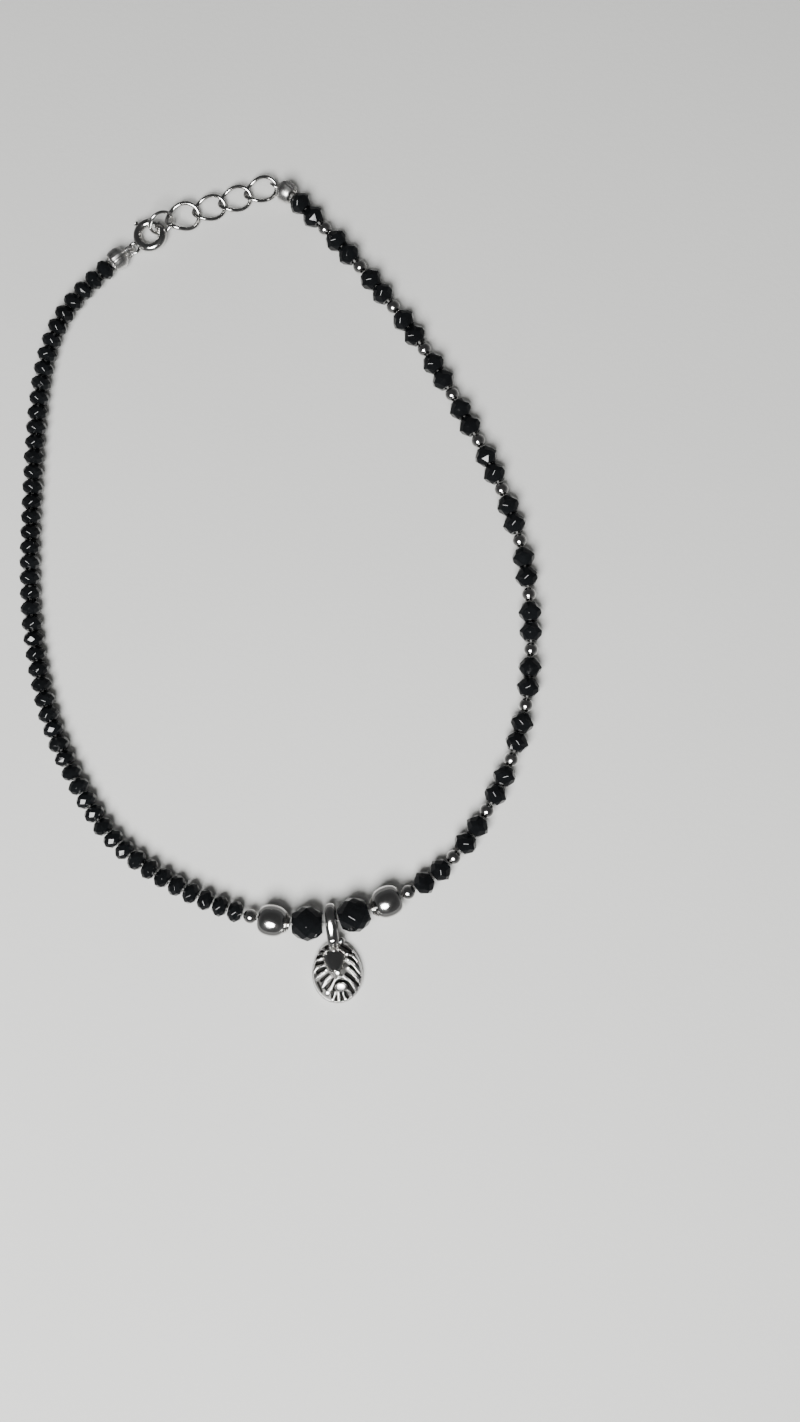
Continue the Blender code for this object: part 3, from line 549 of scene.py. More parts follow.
polished_silver = silver_finish("polished silver", 800.0, 0.12, (0.86, 0.85, 0.83))
radius = BALL_DIAMETER / 2
hole = BALL_HOLE / 2
reach = math.acos(hole / radius)
ball_profile = []
for step in range(19):
    turn = reach * (1 - step / 9)
    ball_profile.append((radius * math.cos(turn), radius * math.sin(turn)))
ball_profile += [(hole * 0.8, -radius * math.sin(reach) * 0.9), (hole * 0.8, radius * math.sin(reach) * 0.9)]
ball = turned("silver ball", ball_profile, 28)
ball_places = [BALL_RIGHT] + [BALL_FIRST + PAIR_PITCH * number for number in range(LARGE_PAIRS - 1)]
ball_row = threaded("ball row", ball_places, ball, polished_silver, 3)
lone_place = aimed(on_line(BALL_LEFT), on_line(BALL_LEFT + radius), 0.0) @ ALONG
ball_mesh = gathered("silver_balls", [(ball_row, Matrix()), (ball, lone_place)])
silver_balls = show("silver_balls", ball_mesh, polished_silver)
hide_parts("silver_ball_strand", "small_bead_strand")


# Barrels: two hollow silver beads beside the centre crystals, spun from sheet and polished to a mirror.
# Each has a stepped collar towards the crystal and a rolled lip round its other hole.
BARREL_DIAMETER = 4.42 * MM
BARREL_LENGTH = 4.35 * MM
BARREL_TURN = math.radians(66)
BARREL_FULLNESS = 0.52
COLLAR_DIAMETER = 3.0 * MM
COLLAR_STEP = 2.0 * MM
COLLAR_LENGTH = 0.62 * MM
COLLAR_LINE = [  # share of the collar's radius, and mm past the barrel's shoulder
    (1.02, -0.03), (0.88, 0.0), (0.95, 0.04), (1.0, 0.09), (1.0, 0.14), (0.94, 0.19), (0.78, 0.22), (0.84, 0.26),
    (0.88, 0.31), (0.86, 0.36), (0.78, 0.40),
]
STEP_LINE = [(0.94, 0.43), (1.02, 0.48), (1.02, 0.54), (0.96, 0.59), (0.84, 0.62)]  # as above, of the step
BARREL_BORE = 0.5 * MM
BARREL_SPANS = [(5.745, 10.095, 1), (275.413, 279.763, -1)]  # two ends along the loop in mm, and which way it faces

top = BARREL_LENGTH / 2
foot = -top + COLLAR_LENGTH
middle = (top + foot) / 2
half = (top - foot) / 2
barrel_profile = []
for step in range(25):
    turn = BARREL_TURN * (1 - step / 12.5)
    if turn < -BARREL_TURN * 0.86:
        break
    swell = BARREL_DIAMETER / 2 * math.cos(turn) ** BARREL_FULLNESS
    barrel_profile.append((swell, middle + half * math.sin(turn) / math.sin(BARREL_TURN)))
collar = COLLAR_DIAMETER / 2
inner = COLLAR_STEP / 2
lip = barrel_profile[0][0]
barrel_profile += [(collar * share, foot - drop * MM) for share, drop in COLLAR_LINE]
barrel_profile += [(inner * share, foot - drop * MM) for share, drop in STEP_LINE]
barrel_profile += [(BARREL_BORE, -top), (BARREL_BORE, top), (lip * 0.90, top), (lip * 0.96, top - 0.01 * MM)]
barrel = turned("barrel", barrel_profile, 56)
placed = []
for start, end, side in BARREL_SPANS:
    placed.append((barrel, seat(start, end) @ Matrix.Rotation(side * math.pi / 2, 4, "Y")))
barrel_beads = show("barrel_beads", gathered("barrel_beads", placed), polished_silver)
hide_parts("barrel_right", "barrel_left")


# Bead tips: a clamshell of thin silver closed over the thread's knot at each end of the string.
# Its two cups meet along a seam, and its loop hooks the chain on one side and the clasp on the other. The pressed
# sheet is left a little duller than the beads.
TIP_DIAMETER = 3.2 * MM
TIP_LENGTH = 2.6 * MM
TIP_LIP = [(0.62, 1.0), (0.74, 1.0), (0.84, 0.93), (0.93, 0.74)]  # shares of the tip's radius and half length
TIP_SEAM = 0.14 * MM
TIP_SEAM_TURN = math.radians(160)
TIP_LOOP_RADIUS = 0.8 * MM
TIP_LOOP_WIRE = 0.42 * MM
TIP_LOOP_SINK = 0.2 * MM
TIP_LOOP_DROP = 0.55 * MM
TIP_LOOP_ROLL = math.radians(70)
TIP_STEM = 0.5 * MM
TIPS = {  # hook and mouth along the loop in mm, and how far the hook laps the link in metres
    "bead_tip_right": (133.633, 129.975, 0.343 * MM),
    "bead_tip_left": (157.123, 160.813, 0.31 * MM),
}

pressed_silver = silver_finish("pressed silver", 900.0, 0.24, (0.84, 0.83, 0.81))
tip_radius = TIP_DIAMETER / 2
rim = TIP_LENGTH / 2
tip_profile = [(tip_radius * share, rim * up) for share, up in TIP_LIP]
for step in range(13):
    turn = math.radians(88) * step / 12
    tip_profile.append((tip_radius * math.cos(turn), -rim * math.sin(turn)))
tip_profile += [
    (0.02 * MM, -rim), (0.02 * MM, rim * 0.1), (tip_radius * 0.5, rim * 0.2), (tip_radius * 0.58, rim * 0.8),
]
tip_shell = turned("tip shell", tip_profile, 96, 60)
for vert in tip_shell.vertices:
    spread = math.hypot(vert.co.x, vert.co.y)
    if spread > tip_radius * 0.2:
        from_seam = abs(vert.co.x * math.sin(TIP_SEAM_TURN) - vert.co.y * math.cos(TIP_SEAM_TURN)) / MM
        groove = math.exp(-((from_seam / 0.11) ** 2)) - 0.45 * math.exp(-(((from_seam - 0.27) / 0.12) ** 2))
        vert.co.xy *= 1.0 - TIP_SEAM * groove / spread
loop_path = []
tip_reach = TIP_LENGTH / 2 + TIP_LOOP_RADIUS - TIP_LOOP_SINK
for step in range(28):
    turn = FULL_TURN * step / 28
    side = TIP_LOOP_RADIUS * math.cos(turn)
    height = -tip_reach + TIP_LOOP_RADIUS * math.sin(turn)
    place = (TIP_LOOP_DROP + side * math.sin(TIP_LOOP_ROLL), side * math.cos(TIP_LOOP_ROLL), height)
    loop_path.append(Vector(place))
tip_loop = drawn_wire("tip loop", loop_path, TIP_LOOP_WIRE, 12, pressed_silver)
stem_path = [(0.0, 0.0, -rim * 0.8), (TIP_LOOP_DROP * 0.5, 0.0, -rim * 1.06), (TIP_LOOP_DROP, 0.0, -rim * 1.12)]
stem = drawn_wire("tip stem", stem_path, TIP_STEM, 12, pressed_silver, closed=False)
to_middle = 2 * TIP_LOOP_RADIUS - TIP_LOOP_SINK + TIP_LENGTH / 2
lift = Vector((0.0, 0.0, TIP_LOOP_DROP))
for name, (hook, mouth, lap) in TIPS.items():
    lay = aimed(on_line(hook * MM) + lift, on_line(mouth * MM), to_middle - lap) @ ALONG
    mesh = gathered(name + "_shells", [(piece, lay) for piece in (tip_shell, tip_loop, stem)])
    tip = show(name + "_shells", mesh, pressed_silver)
    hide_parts(name)


# Extension chain: twisted curb links of drawn silver wire, each bent through the last and soldered shut.
# The fourth link is rounder and heavier, and takes the jump ring.
LINK_TWIST = math.radians(34)
LINK_STEPS = 44
LINK_ENDS = [133.633, 137.765, 141.865, 145.948, 150.155]  # where they meet along the loop, in mm
LINK_SIZES = [(5.4, 4.15, 0.55)] * 3 + [(5.6, 4.7, 0.62)]  # length, width and wire, in mm

chain_silver = silver_finish("chain silver", 1200.0, 0.11, (0.84, 0.83, 0.81))
for number, sizes in enumerate(LINK_SIZES):
    name = f"chain_link_{number + 1}"
    lay = seat(LINK_ENDS[number], LINK_ENDS[number + 1])
    length, width, wire = (size * MM for size in sizes)
    path = []
    for step in range(LINK_STEPS):
        turn = FULL_TURN * (step + 0.5) / LINK_STEPS
        along = math.cos(turn)
        across = (width - wire) / 2 * math.sin(turn)
        twist = LINK_TWIST * along
        point = Vector(((length - wire) / 2 * along, across * math.cos(twist), across * math.sin(twist)))
        path.append(lay @ point)
    chain_link = show(name + "_wire", drawn_wire(name + "_wire", path, wire, 14, chain_silver), chain_silver)
    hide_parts(name)


# Jump ring: a round of silver wire that stands nearly on edge between the chain and the clasp.
# Its cut ends are butted together, not soldered.
JUMP_DIAMETER = 4.1 * MM
JUMP_WIRE = 0.5 * MM
JUMP_ROLL = math.radians(-70)
JUMP_CONTACT = math.radians(22)
JUMP_CUT = math.radians(1.4)
JUMP_CUT_PLACE = math.radians(-60)

jump_radius = (JUMP_DIAMETER - JUMP_WIRE) / 2
lay = seat(150.155, 152.458, JUMP_ROLL) @ Matrix.Translation((0.0, -jump_radius * math.sin(JUMP_CONTACT), 0.0))
path = []
for step in range(41):
    turn = JUMP_CUT_PLACE + JUMP_CUT + (FULL_TURN - 2 * JUMP_CUT) * step / 40
    path.append(lay @ Vector((jump_radius * math.cos(turn), jump_radius * math.sin(turn), 0.0)))
jump_mesh = drawn_wire("jump_ring_wire", path, JUMP_WIRE, 14, chain_silver, closed=False)
jump_ring = show("jump_ring_wire", jump_mesh, chain_silver)
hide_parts("jump_ring")


# Spring ring: a silver tube bent to a ring, with a gap that its sliding bolt shuts and a slot for the bolt's tab.
# A flat wire eyelet is soldered to it and takes the left bead tip.
RING_DIAMETER = 5.0 * MM
RING_TUBE = 1.24 * MM
RING_BORE = 0.95 * MM
EYELET_RADIUS = 0.75 * MM
EYELET_WIRE = 0.42 * MM
EYELET_SINK = 0.25 * MM
RING_LAP = 0.655 * MM
GATE_START = math.radians(-166)
GATE_END = math.radians(-124)
BORE_END = math.radians(-8)
SOCKET_DEPTH = math.radians(8)
TAB_ANGLE = math.radians(-80)
BOLT_TRAVEL = math.radians(46)
TAB_WIDTH = 0.36 * MM
TAB_CLEARANCE = 0.12 * MM

track = (RING_DIAMETER - RING_TUBE) / 2
ring_lay = seat(152.458, 157.123)
span = (on_line(157.123 * MM) - on_line(152.458 * MM)).length
ring_lay = ring_lay @ Matrix.Translation((-(span / 2 + RING_LAP - track), 0.0, 0.0))


def clasp_wire(name, start, end, radius, diameter, sides):
    """Silver wire bent along an arc about the clasp's centre, in its plane."""
    count = max(3, math.ceil(abs(end - start) / math.radians(5)) + 1)
    path = []
    for turn in np.linspace(start, end, count):
        path.append(ring_lay @ Vector((radius * math.cos(turn), radius * math.sin(turn), 0.0)))
    return drawn_wire(name, path, diameter, sides, polished_silver, closed=False)


def carved(name, mesh, changes):
    """A mesh with other meshes joined to it or cut from it, as plain data."""
    piece = added(name, mesh)
    helpers = []
    for operation, other in changes:
        helper = added(other.name, other)
        helpers.append(helper)
        step = piece.modifiers.new(other.name, "BOOLEAN")
        step.operation = operation
        step.solver = "EXACT"
        step.object = helper
    result = baked(piece, name)
    for helper in helpers:
        bpy.data.objects.remove(helper, do_unlink=True)
    result.shade_smooth()
    result.set_sharp_from_angle(angle=math.radians(38))
    return result


past = math.radians(4)
tube = clasp_wire("tube", GATE_END, FULL_TURN + GATE_START, track, RING_TUBE, 24)
eyelet_centre = RING_DIAMETER / 2 - EYELET_SINK + EYELET_RADIUS
eyelet_path = []
for step in range(28):
    turn = FULL_TURN * step / 28
    spot = Vector((eyelet_centre + EYELET_RADIUS * math.cos(turn), EYELET_RADIUS * math.sin(turn), 0.0))
    eyelet_path.append(ring_lay @ spot)
eyelet = drawn_wire("eyelet", eyelet_path, EYELET_WIRE, 12, polished_silver)
bore = clasp_wire("bore", GATE_END - past, BORE_END, track, RING_BORE, 20)
socket = clasp_wire("socket", GATE_START - SOCKET_DEPTH, GATE_START + past, track, RING_BORE, 20)
slot_width = TAB_WIDTH + 2 * TAB_CLEARANCE
slot_start = TAB_ANGLE - slot_width / RING_DIAMETER * 1.5
slot_end = TAB_ANGLE + BOLT_TRAVEL + slot_width / RING_DIAMETER * 1.5
slot = clasp_wire("slot", slot_start, slot_end, track + (RING_BORE + RING_TUBE) / 4, slot_width, 12)
changes = [("UNION", eyelet), ("DIFFERENCE", bore), ("DIFFERENCE", socket), ("DIFFERENCE", slot)]
ring_mesh = carved("spring_ring_tube", tube, changes)
spring_ring = show("spring_ring_tube", ring_mesh, polished_silver)
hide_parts("spring_ring")


# Bolt: the sliding wire inside the tube, pushed shut by its spring, with a tab that a fingernail pulls back.
# The tab's rounded head stands on a short neck that runs in the tube's slot.
BOLT_DIAMETER = 0.6 * MM
TAB_HEAD = 0.8 * MM

bolt_end = TAB_ANGLE + math.radians(14)
bolt_wire = clasp_wire("bolt wire", GATE_START - SOCKET_DEPTH / 2, bolt_end, track, BOLT_DIAMETER, 16)
outward = Vector((math.cos(TAB_ANGLE), math.sin(TAB_ANGLE), 0.0))
neck_end = RING_DIAMETER / 2 + TAB_CLEARANCE + TAB_HEAD / 4
neck_path = [ring_lay @ (outward * track), ring_lay @ (outward * neck_end)]
neck = drawn_wire("tab neck", neck_path, TAB_WIDTH, 14, polished_silver, closed=False)
shape = bmesh.new()
bmesh.ops.create_uvsphere(shape, u_segments=24, v_segments=16, radius=1.0)
bmesh.ops.scale(shape, vec=(TAB_HEAD / 4, TAB_HEAD / 2, TAB_HEAD / 2), verts=shape.verts)
shape.transform(ring_lay @ Matrix.Translation(outward * neck_end) @ Matrix.Rotation(TAB_ANGLE, 4, "Z"))
bolt_mesh = carved("clasp_bolt", bolt_wire, [("UNION", neck), ("UNION", as_mesh(shape, "tab head"))])
clasp_bolt = show("clasp_bolt", bolt_mesh, polished_silver, body="bolt")
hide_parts("spring_ring_bolt")


# Pendant: an egg-shaped silver drop cast with a traditional relief, its recesses blackened and its ridges polished.
# A smooth shield stands at the top, ribs fan out round it, and an oval boss sits under a roof of two ridges.
# Its bail is a closed loop of thick wire, soldered on, with a bead of solder on its foot and one at its right.
PENDANT_WIDTH = 6.9 * MM
PENDANT_HEIGHT = 8.41 * MM
PENDANT_SWING = math.radians(-4.8)
PENDANT_EDGE = 0.9 * MM
EGG_SHARE = 0.08
FIELD_DOME = 0.85 * MM
RELIEF_RINGS = 96
RELIEF_SPOKES = 320
BAIL_WIDTH = 1.65 * MM
BAIL_LENGTH = 6.1 * MM
BAIL_RISE = 3.7 * MM
BAIL_STOCK = 0.8 * MM
BAIL_BACK_REACH = 2.6 * MM
BAIL_TAPER = 0.18
BAIL_LEAN = 0.4
SOLDER_SIZE = (1.16 * MM, 1.16 * MM, 0.40 * MM)
SOLDER_PLACE = (0.0, 0.92 * MM, 2.70 * MM)
SOLDER_TILT = math.radians(20)
KNOB_DIAMETER = 1.05 * MM
KNOB_RAISE = 0.75 * MM
# From here on in mm in the drop's own plane, with its middle at 0, 0 and the bail upwards.
SHIELD_TOP = 3.16
SHIELD_FOOT = 0.04
SHIELD_HALF = 1.46
SHIELD_MIDDLE = -0.12
BOSS = (0.41, -2.07, 0.86, 0.70)  # middle and half sizes
PAD_SLOPE = (0.10, 0.385)
RIBS = [  # three places along the crest of each ridge, its height and its half width
    (-1.68, 1.1, -2.55, 0.95, -3.15, 0.35, 0.18, 0.14), (-1.36, 0.4, -1.95, 0.02, -3, -0.6, 0.2, 0.15),
    (-0.8, -0.48, -1.6, -1.02, -2.15, -1.85, 0.24, 0.18), (0.62, -0.68, -0.2, -0.92, -0.68, -1.58, 0.3, 0.17),
    (-0.68, -1.58, -0.98, -2.15, -1.45, -2.6, 0.28, 0.17), (0.8, -0.62, 1.7, -1.38, 2.38, -2.6, 0.28, 0.17),
    (1.6, 1.5, 2.3, 0.85, 3.2, -0.5, 0.24, 0.16), (1.58, 0.45, 2.1, -0.25, 2.98, -1.62, 0.24, 0.16),
    (1.66, 2.26, 2.45, 1.95, 3.02, 1.08, 0.2, 0.14), (-1.55, 2.22, -2.3, 1.95, -3.08, 1.75, 0.18, 0.16),
    (-1.45, 2.62, -2.2, 2.8, -2.62, 2.82, 0.16, 0.14), (-1.22, 3.05, -1.58, 3.42, -1.82, 3.58, 0.16, 0.14),
    (-0.58, 3.4, -0.62, 3.8, -0.66, 4, 0.16, 0.13), (0.45, 3.42, 0.52, 3.75, 0.58, 4, 0.16, 0.13),
    (-0.48, -2.75, -0.64, -3.2, -0.92, -3.75, 0.2, 0.12), (-0.02, -2.78, -0.04, -3.3, -0.08, -3.9, 0.24, 0.17),
    (0.62, -2.82, 0.66, -3.3, 0.82, -3.92, 0.2, 0.12), (1.15, -2.62, 1.48, -2.95, 1.78, -3.3, 0.18, 0.12),
]
SLOTS = [  # two ends of each cut between the ridges, its depth and its half width
    (-1.32, 3.3, -0.85, 3.82, 0.34, 0.19), (-0.32, 3.72, 0.15, 3.86, 0.3, 0.16),
    (-2.12, 3.18, -1.62, 2.84, 0.34, 0.19), (-2.52, 2.32, -1.95, 2.4, 0.34, 0.18),
    (-2.62, 1.42, -1.84, 1.52, 0.36, 0.2), (-2.62, 0.32, -1.68, 0.66, 0.38, 0.23),
    (-2.2, -0.86, -1.22, -0.2, 0.36, 0.2), (-1.66, -2, -0.52, -0.98, 0.38, 0.21),
    (1.15, 3.55, 2.2, 2.88, 0.3, 0.27), (2.05, 2.5, 2.7, 2.08, 0.3, 0.13), (1.98, 1.84, 2.84, 1.12, 0.38, 0.21),
    (1.92, 0.56, 2.64, 0.04, 0.38, 0.21), (2.64, 0.04, 3.22, -1.05, 0.24, 0.09),
    (1.42, -0.42, 2.2, -1.24, 0.4, 0.25), (2.2, -1.24, 2.82, -2.1, 0.28, 0.13),
    (1.62, -2, 1.98, -2.98, 0.34, 0.18), (-0.82, -2.66, -0.92, -3.36, 0.34, 0.17),
    (-0.4, -3.22, -0.48, -3.8, 0.28, 0.11), (0.27, -2.92, 0.33, -3.8, 0.34, 0.16),
    (0.92, -2.95, 1.22, -3.72, 0.34, 0.19), (-2.75, -1.15, -2.35, -2.35, 0.16, 0.12),
]
GRAINS = [  # middle and radius of each small round grain: the seed under the shield, then the ribs' feet
    (0.14, -0.16, 0.4), (-0.94, -3.7, 0.24), (-0.05, -3.86, 0.22), (0.84, -3.84, 0.27), (-1.5, -2.72, 0.38),
    (1.64, 2.24, 0.22), (-1.38, 0.36, 0.22), (1.72, 1.42, 0.2), (1.66, 0.34, 0.22),
]


def egg(turn):
    """The outline's half sizes at an angle about the pendant's middle."""
    widen = 1.0 - EGG_SHARE * np.sin(turn) * np.abs(np.cos(turn)) ** 0.5
    return PENDANT_WIDTH / 2 * np.cos(turn) * widen, PENDANT_HEIGHT / 2 * np.sin(turn)


def off_line(x, y, x0, y0, x1, y1):
    """How far a place lies from the straight line between two others."""
    run = np.clip(((x - x0) * (x1 - x0) + (y - y0) * (y1 - y0)) / ((x1 - x0) ** 2 + (y1 - y0) ** 2), 0.0, 1.0)
    return np.hypot(x - x0 - run * (x1 - x0), y - y0 - run * (y1 - y0))


def ridge(x, y, row):
    """Height of one rounded ridge that runs through three places, in mm."""
    height, half_width = row[6:]
    off = np.minimum(off_line(x, y, *row[:4]), off_line(x, y, *row[2:6]))
    return height * np.exp(-((off / half_width) ** 2.4) * 0.8)


def shield(x, y):
    """How far a place lies out from the smooth shield's middle line, as a share of its half width there, and mm."""
    down = (SHIELD_TOP - y) / (SHIELD_TOP - SHIELD_FOOT)
    inside = np.clip(down, 0.0, 1.0)
    shoulder = np.sqrt(np.clip(1.0 - ((0.30 - np.minimum(inside, 0.30)) / 0.30) ** 2.2, 0.0, 1.0))
    taper = 1.0 - 0.62 * (np.maximum(inside - 0.30, 0.0) / 0.70) ** 1.7
    close = np.sqrt(np.clip(1.0 - (np.maximum(inside - 0.82, 0.0) / 0.18) ** 2.2, 0.0, 1.0))
    half = SHIELD_HALF * np.maximum(shoulder * taper * close, 0.02)
    beyond = np.maximum(np.maximum(-down, down - 1.0), 0.0) * (SHIELD_TOP - SHIELD_FOOT)
    reach = np.abs(x - SHIELD_MIDDLE)
    return reach / half + beyond / 0.3, np.hypot(np.maximum(reach - half, 0.0), beyond), inside


def pad(x, y, spot, size, lift):
    """A low rounded pad on the dome, rubbed nearly flat and sloping to the drop's foot, in mm."""
    off = np.hypot((x - spot[0]) / size[0], (y - spot[1]) / size[1])
    level_x = 2 * FIELD_DOME / MM * spot[0] / (PENDANT_WIDTH / MM / 2) ** 2 + PAD_SLOPE[0]
    level_y = 2 * FIELD_DOME / MM * spot[1] / (PENDANT_HEIGHT / MM / 2) ** 2 + PAD_SLOPE[1]
    top = lift + level_x * (x - spot[0]) + level_y * (y - spot[1]) - 0.05 * min(size) * off**2
    return top * np.sqrt(np.clip(1.0 - off**8, 0.0, 1.0))


def cut(x, y, row):
    """How deep one slot is between its two ends, in mm, and how far inside it a place is, from 0 to 1."""
    depth, half_width = row[4:]
    inside = np.clip((1.25 - off_line(x, y, *row[:4]) / half_width) / 0.5, 0.0, 1.0)
    inside = inside * inside * (3.0 - 2.0 * inside)
    return depth * inside, inside


def relief(x, y, share):
    """Height of the cast face in metres, and its finish: 0 the mirror shield, .5 satin ground, 1 a black slot."""
    x, y = x / MM, y / MM
    field = 1.02 + FIELD_DOME / MM * (1.0 - share**2)
    sunk, black = np.zeros_like(x), np.zeros_like(x)
    for row in SLOTS:
        depth, inside = cut(x, y, row)
        sunk, black = np.maximum(sunk, depth), np.maximum(black, inside)
    bx, by, bw, bh = BOSS
    off = np.hypot((x - bx) / bw, (y - by) / bh)
    moat = np.exp(-(((off - 1.26) / 0.17) ** 4)) * np.clip((y - by + 0.45) / 0.3, 0.0, 1.0)
    sunk, black = np.maximum(sunk, 0.30 * moat), np.maximum(black, moat)
    lifted = np.zeros_like(x)
    for row in RIBS:
        lifted = np.maximum(lifted, ridge(x, y, row))
    for gx, gy, size in GRAINS:
        lifted = np.maximum(lifted, pad(x, y, (gx, gy), (size, size), size * 0.5 + 0.22))
    lifted = np.maximum(lifted, pad(x, y, (bx, by), (bw, bh), 0.52))
    across, clear, down = shield(x, y)
    ends = np.clip(down / 0.10, 0.0, 1.0) * np.clip((1.0 - down) / 0.07, 0.0, 1.0)
    dome = 0.22 + 0.46 * np.clip(1.0 - across**2, 0.0, 1.0) ** 0.75 * ends**0.4
    lifted = np.maximum(lifted, np.where(across < 1.0, dome, 0.0))
    lifted = np.maximum(lifted, 0.40 * np.exp(-(((clear - 0.09) / 0.075) ** 2)) * (across >= 1.0))
    lifted = np.maximum(lifted, 0.11 * np.exp(-(((share - 0.972) / 0.026) ** 2)))
    crest = np.clip(lifted / 0.12, 0.0, 1.0)
    fall = 0.30 * np.clip((share - 0.94) / 0.06, 0.0, 1.0) ** 2
    polish = np.where(across < 1.0, 0.5, 0.34)
    return (field + lifted - sunk * (1.0 - crest) - fall) * MM, 0.5 - polish * crest + 0.5 * black * (1.0 - crest)


def pendant_face():
    """The drop: its relief on a polar grid, a rounded wall and a flat back."""
    shape = bmesh.new()
    tone = shape.verts.layers.float.new("blackening")
    turns = np.arange(RELIEF_SPOKES) * FULL_TURN / RELIEF_SPOKES
    ex, ey = egg(turns)
    rings = []
    for number in range(1, RELIEF_RINGS + 1):
        share = (number / RELIEF_RINGS) ** 0.9
        x, y = ex * share, ey * share
        z, dark = relief(x, y, np.full_like(x, share))
        ring = []
        for i in range(RELIEF_SPOKES):
            vert = shape.verts.new((x[i], y[i], z[i]))
            vert[tone] = float(dark[i])
            ring.append(vert)
        rings.append(ring)
    z, dark = relief(np.zeros(1), np.zeros(1), np.zeros(1))
    hub = shape.verts.new((0.0, 0.0, z[0]))
    hub[tone] = float(dark[0])
    for share, height in ((1.012, 0.74), (1.018, 0.5), (1.012, 0.26), (0.99, 0.08), (0.96, 0.0)):
        z = PENDANT_EDGE * height
        rings.append([shape.verts.new((ex[i] * share, ey[i] * share, z)) for i in range(RELIEF_SPOKES)])
        for vert in rings[-1]:
            vert[tone] = 0.1
    for i in range(RELIEF_SPOKES):
        after = (i + 1) % RELIEF_SPOKES
        shape.faces.new((hub, rings[0][i], rings[0][after]))
        for inner, outer in zip(rings, rings[1:]):
            shape.faces.new((inner[i], outer[i], outer[after], inner[after]))
    back = shape.verts.new((0.0, 0.0, 0.0))
    for i in range(RELIEF_SPOKES):
        shape.faces.new((back, rings[-1][(i + 1) % RELIEF_SPOKES], rings[-1][i]))
    bmesh.ops.recalc_face_normals(shape, faces=shape.faces)
    return as_mesh(shape, "pendant face")


def cast_finish():
    """Cast silver: polished crests, a satin ground, and slots blackened by oxide, with a fine pitted grain."""
    finish, shader, where, marks = finish_base("cast silver", 900.0, 2600.0)
    tree = finish.node_tree
    black = node(tree, "ShaderNodeAttribute")
    black.attribute_name = "blackening"
    pits = node(tree, "ShaderNodeTexNoise", {"Scale": 5200.0, "Detail": 3.0})
    oxide = node(tree, "ShaderNodeMapRange", {"From Min": 0.5, "From Max": 0.95})
    ground = node(tree, "ShaderNodeMapRange", {"From Min": 0.22, "From Max": 0.5})
    satin = node(tree, "ShaderNodeMapRange", {"From Max": 0.5, "To Min": 0.09, "To Max": 0.46})
    handled = node(tree, "ShaderNodeMath", {1: 0.07})
    handled.operation = "MULTIPLY_ADD"
    depth = node(tree, "ShaderNodeMath")
    depth.operation = "MULTIPLY"
    bright, satin_grey, sooty = (0.84, 0.83, 0.81), (0.115, 0.113, 0.108), (0.022, 0.021, 0.020)
    silver = blended(finish, ground.outputs["Result"], bright, satin_grey, shader.inputs["Base Color"])
    tone = blended(finish, oxide.outputs["Result"], bright, sooty, shader.inputs["Base Color"])
    linked(
        tree, (where, "Object", pits, "Vector"), (black, "Fac", oxide, "Value"),
        (black, "Fac", ground, "Value"), (silver, "Result", tone, "A"), (black, "Fac", satin, "Value"),
        (marks, "Smudge", handled, 0), (satin, "Result", handled, 2), (handled, 0, shader, "Roughness"),
        (black, "Fac", depth, 0), (pits, "Fac", depth, 1),
    )
    shader.inputs["Metallic"].default_value = 1.0
    bumped(finish, depth.outputs[0], 0.004 * MM, shader)
    return finish


middle_point = on_line(0.0)
pendant_lay = seat(-BAIL_WIDTH / 2 / MM, BAIL_WIDTH / 2 / MM) @ Matrix.Rotation(PENDANT_SWING, 4, "Z")
pendant_lay.translation = Vector((middle_point.x, middle_point.y, LOOP_SHIFT.z))
bail_foot = BAIL_BACK_REACH - BAIL_LENGTH
drop_middle = bail_foot - PENDANT_HEIGHT / 2 + BAIL_STOCK
face = pendant_face()
face.transform(pendant_lay @ Matrix.Translation((0.0, drop_middle, 0.0)))
bail_path = []
for step in range(60):
    turn = FULL_TURN * step / 60
    y = BAIL_BACK_REACH - BAIL_LENGTH / 2 + (BAIL_LENGTH - BAIL_STOCK) / 2 * math.cos(turn)
    lean = 1.0 + BAIL_LEAN * math.cos(turn) * (step < 30)
    bail_path.append(Vector((0.0, y, BAIL_RISE / 2 + (BAIL_RISE - BAIL_STOCK) / 2 * math.sin(turn) * lean)))
cast_silver = cast_finish()
bail = drawn_wire("bail", bail_path, BAIL_STOCK, 24, cast_silver)
for vert in bail.vertices:
    share = (vert.co.y - bail_foot) / BAIL_LENGTH
    vert.co.x *= BAIL_WIDTH / BAIL_STOCK * (1.0 - BAIL_TAPER * share)
bail.transform(pendant_lay)
joined = bmesh.new()
joined.verts.layers.float.new("blackening")
joined.from_mesh(face)
joined.from_mesh(bail)
knob_place = (BAIL_WIDTH / 2 + KNOB_DIAMETER * 0.15, KNOB_RAISE, PENDANT_EDGE + KNOB_DIAMETER * 0.35)
knob_size = (KNOB_DIAMETER, KNOB_DIAMETER, KNOB_DIAMETER)
for spot, size, tilt in ((knob_place, knob_size, 0.0), (SOLDER_PLACE, SOLDER_SIZE, SOLDER_TILT)):
    blob = bmesh.ops.create_uvsphere(joined, u_segments=28, v_segments=18, radius=0.5)["verts"]
    bmesh.ops.scale(joined, vec=size, verts=blob)
    turn = Matrix.Translation(Vector(spot) + Vector((0.0, bail_foot, 0.0))) @ Matrix.Rotation(tilt, 4, "X")
    bmesh.ops.transform(joined, matrix=pendant_lay @ turn, verts=blob)
pendant_mesh = as_mesh(joined, "pendant_drop")
pendant_mesh.shade_smooth()
pendant_mesh.set_sharp_from_angle(angle=math.radians(60))
pendant_drop = show("pendant_drop", pendant_mesh, cast_silver)
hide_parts("pendant")
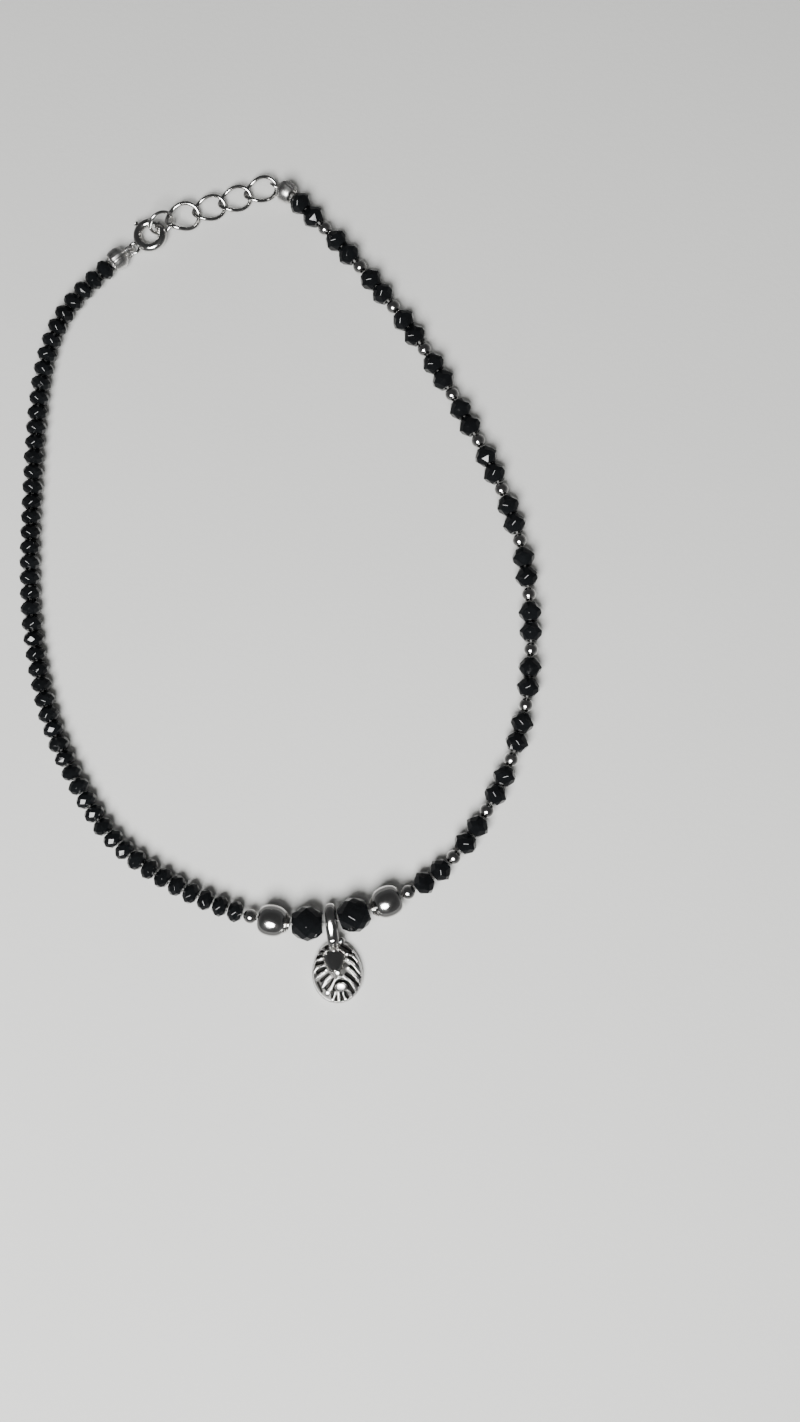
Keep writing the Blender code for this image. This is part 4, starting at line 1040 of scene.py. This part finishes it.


# Floor: the plain pale surface that the anklet lies on, with a faint unevenness of tone and painted shade in its
# reflections.
# It is one flat sheet, far wider than the picture.
FLOOR_REACH = 3.0


def floor_finish():
    """Matt pale grey, with painted shade that darkens it only where the bright pieces mirror it at a low angle,
    standing for a weave's self-shadowing.
    """
    finish = bpy.data.materials.new("pale floor")
    finish.use_nodes = True
    tree = finish.node_tree
    shader = tree.nodes["Principled BSDF"]
    shader.inputs["Roughness"].default_value = 0.85
    shader.inputs["Specular IOR Level"].default_value = 0.2
    where = node(tree, "ShaderNodeTexCoord")
    cloud = node(tree, "ShaderNodeTexNoise", {"Scale": 14.0})
    grain = node(tree, "ShaderNodeTexNoise", {"Scale": 1400.0})
    facing = node(tree, "ShaderNodeLayerWeight")
    grazing = node(tree, "ShaderNodeMapRange", {"From Min": 0.18, "From Max": 0.46})
    ray = node(tree, "ShaderNodeLightPath")
    seen = node(tree, "ShaderNodeMath")
    seen.operation = "MULTIPLY"
    # mirrored is the painted shade colour: glossy rays that meet the floor at a low angle see it this dark, in
    # place of a weave's self-shadowing
    low, high, mirrored = (0.66, 0.66, 0.64), (0.73, 0.73, 0.71), (0.10, 0.10, 0.10)
    pale = blended(finish, cloud.outputs["Fac"], low, high, shader.inputs["Base Color"])
    painted_reflection_shade = blended(finish, seen.outputs[0], low, mirrored, shader.inputs["Base Color"])
    linked(
        tree, (where, "Object", cloud, "Vector"), (where, "Object", grain, "Vector"),
        (facing, "Facing", grazing, "Value"), (grazing, "Result", seen, 0), (ray, "Is Glossy Ray", seen, 1),
        (pale, "Result", painted_reflection_shade, "A"),
    )
    bumped(finish, grain.outputs["Fac"], 0.05 * MM, shader, strength=0.5)
    return finish


shape = bmesh.new()
bmesh.ops.create_grid(shape, x_segments=1, y_segments=1, size=FLOOR_REACH)
floor_mesh = as_mesh(shape, "floor")
floor = added("floor", floor_mesh)
floor_mesh.materials.append(floor_finish())


# Light: one soft round window on the viewer's side, a third of the way down from straight above, in a dim room.
# A wide ceiling glow, too faint to show in the silver, softens the shadows.
def soft_light(name, place, size, power, mirrored):
    """An oval light that faces the anklet, seen in the bright pieces or not."""
    lamp = bpy.data.lights.new(name, "AREA")
    lamp.shape = "ELLIPSE"
    lamp.size, lamp.size_y = size
    lamp.energy = power
    holder = added(name, lamp)
    holder.location = place
    holder.rotation_euler = (-Vector(place)).to_track_quat("-Z", "Y").to_euler()
    holder.visible_glossy = mirrored


soft_light("window", place=(-0.06, -0.25, 0.352), size=(0.27, 0.235), power=4.0, mirrored=True)
soft_light("ceiling", place=(0.0, -0.42, 0.95), size=(1.1, 1.1), power=2.7, mirrored=False)
room = bpy.data.worlds.new("room")
room.use_nodes = True
bpy.context.scene.world = room
backdrop = room.node_tree.nodes["Background"]
backdrop.inputs["Color"].default_value = (0.97, 0.98, 1.0, 1.0)
where = node(room.node_tree, "ShaderNodeTexCoord")
split = node(room.node_tree, "ShaderNodeSeparateXYZ")
rise = node(room.node_tree, "ShaderNodeMapRange", {"From Max": 0.6, "To Min": 0.09, "To Max": 0.04})
linked(
    room.node_tree, (where, "Generated", split, "Vector"), (split, "Z", rise, "Value"),
    (rise, "Result", backdrop, "Strength"),
)


# Camera: hand held about 20 cm above the loop, a little to the pendant's side, looking down at the loop's middle.
# Its focal length is that of the photo, in the photo's pixels.
AIM = Vector((17.261, -19.953, 0.0)) * MM
CAMERA_OFFSET = Vector((4.55, -27.3, 196.8)) * MM
FOCAL_PIXELS = 1400
PHOTO_HEIGHT = 1422

lens = bpy.data.cameras.new("camera")
lens.sensor_fit = "VERTICAL"
lens.sensor_height = 36.0
lens.lens = FOCAL_PIXELS / PHOTO_HEIGHT * lens.sensor_height
lens.clip_start = 0.005
lens.clip_end = 20.0
camera = added("camera", lens)
ahead = (-CAMERA_OFFSET).normalized()
up = (Vector((0.0, 1.0, 0.0)) - ahead * ahead.y).normalized()
turn = Matrix((ahead.cross(up), up, -ahead)).transposed().to_4x4()
camera.matrix_world = Matrix.Translation(AIM + CAMERA_OFFSET) @ turn
bpy.context.scene.camera = camera
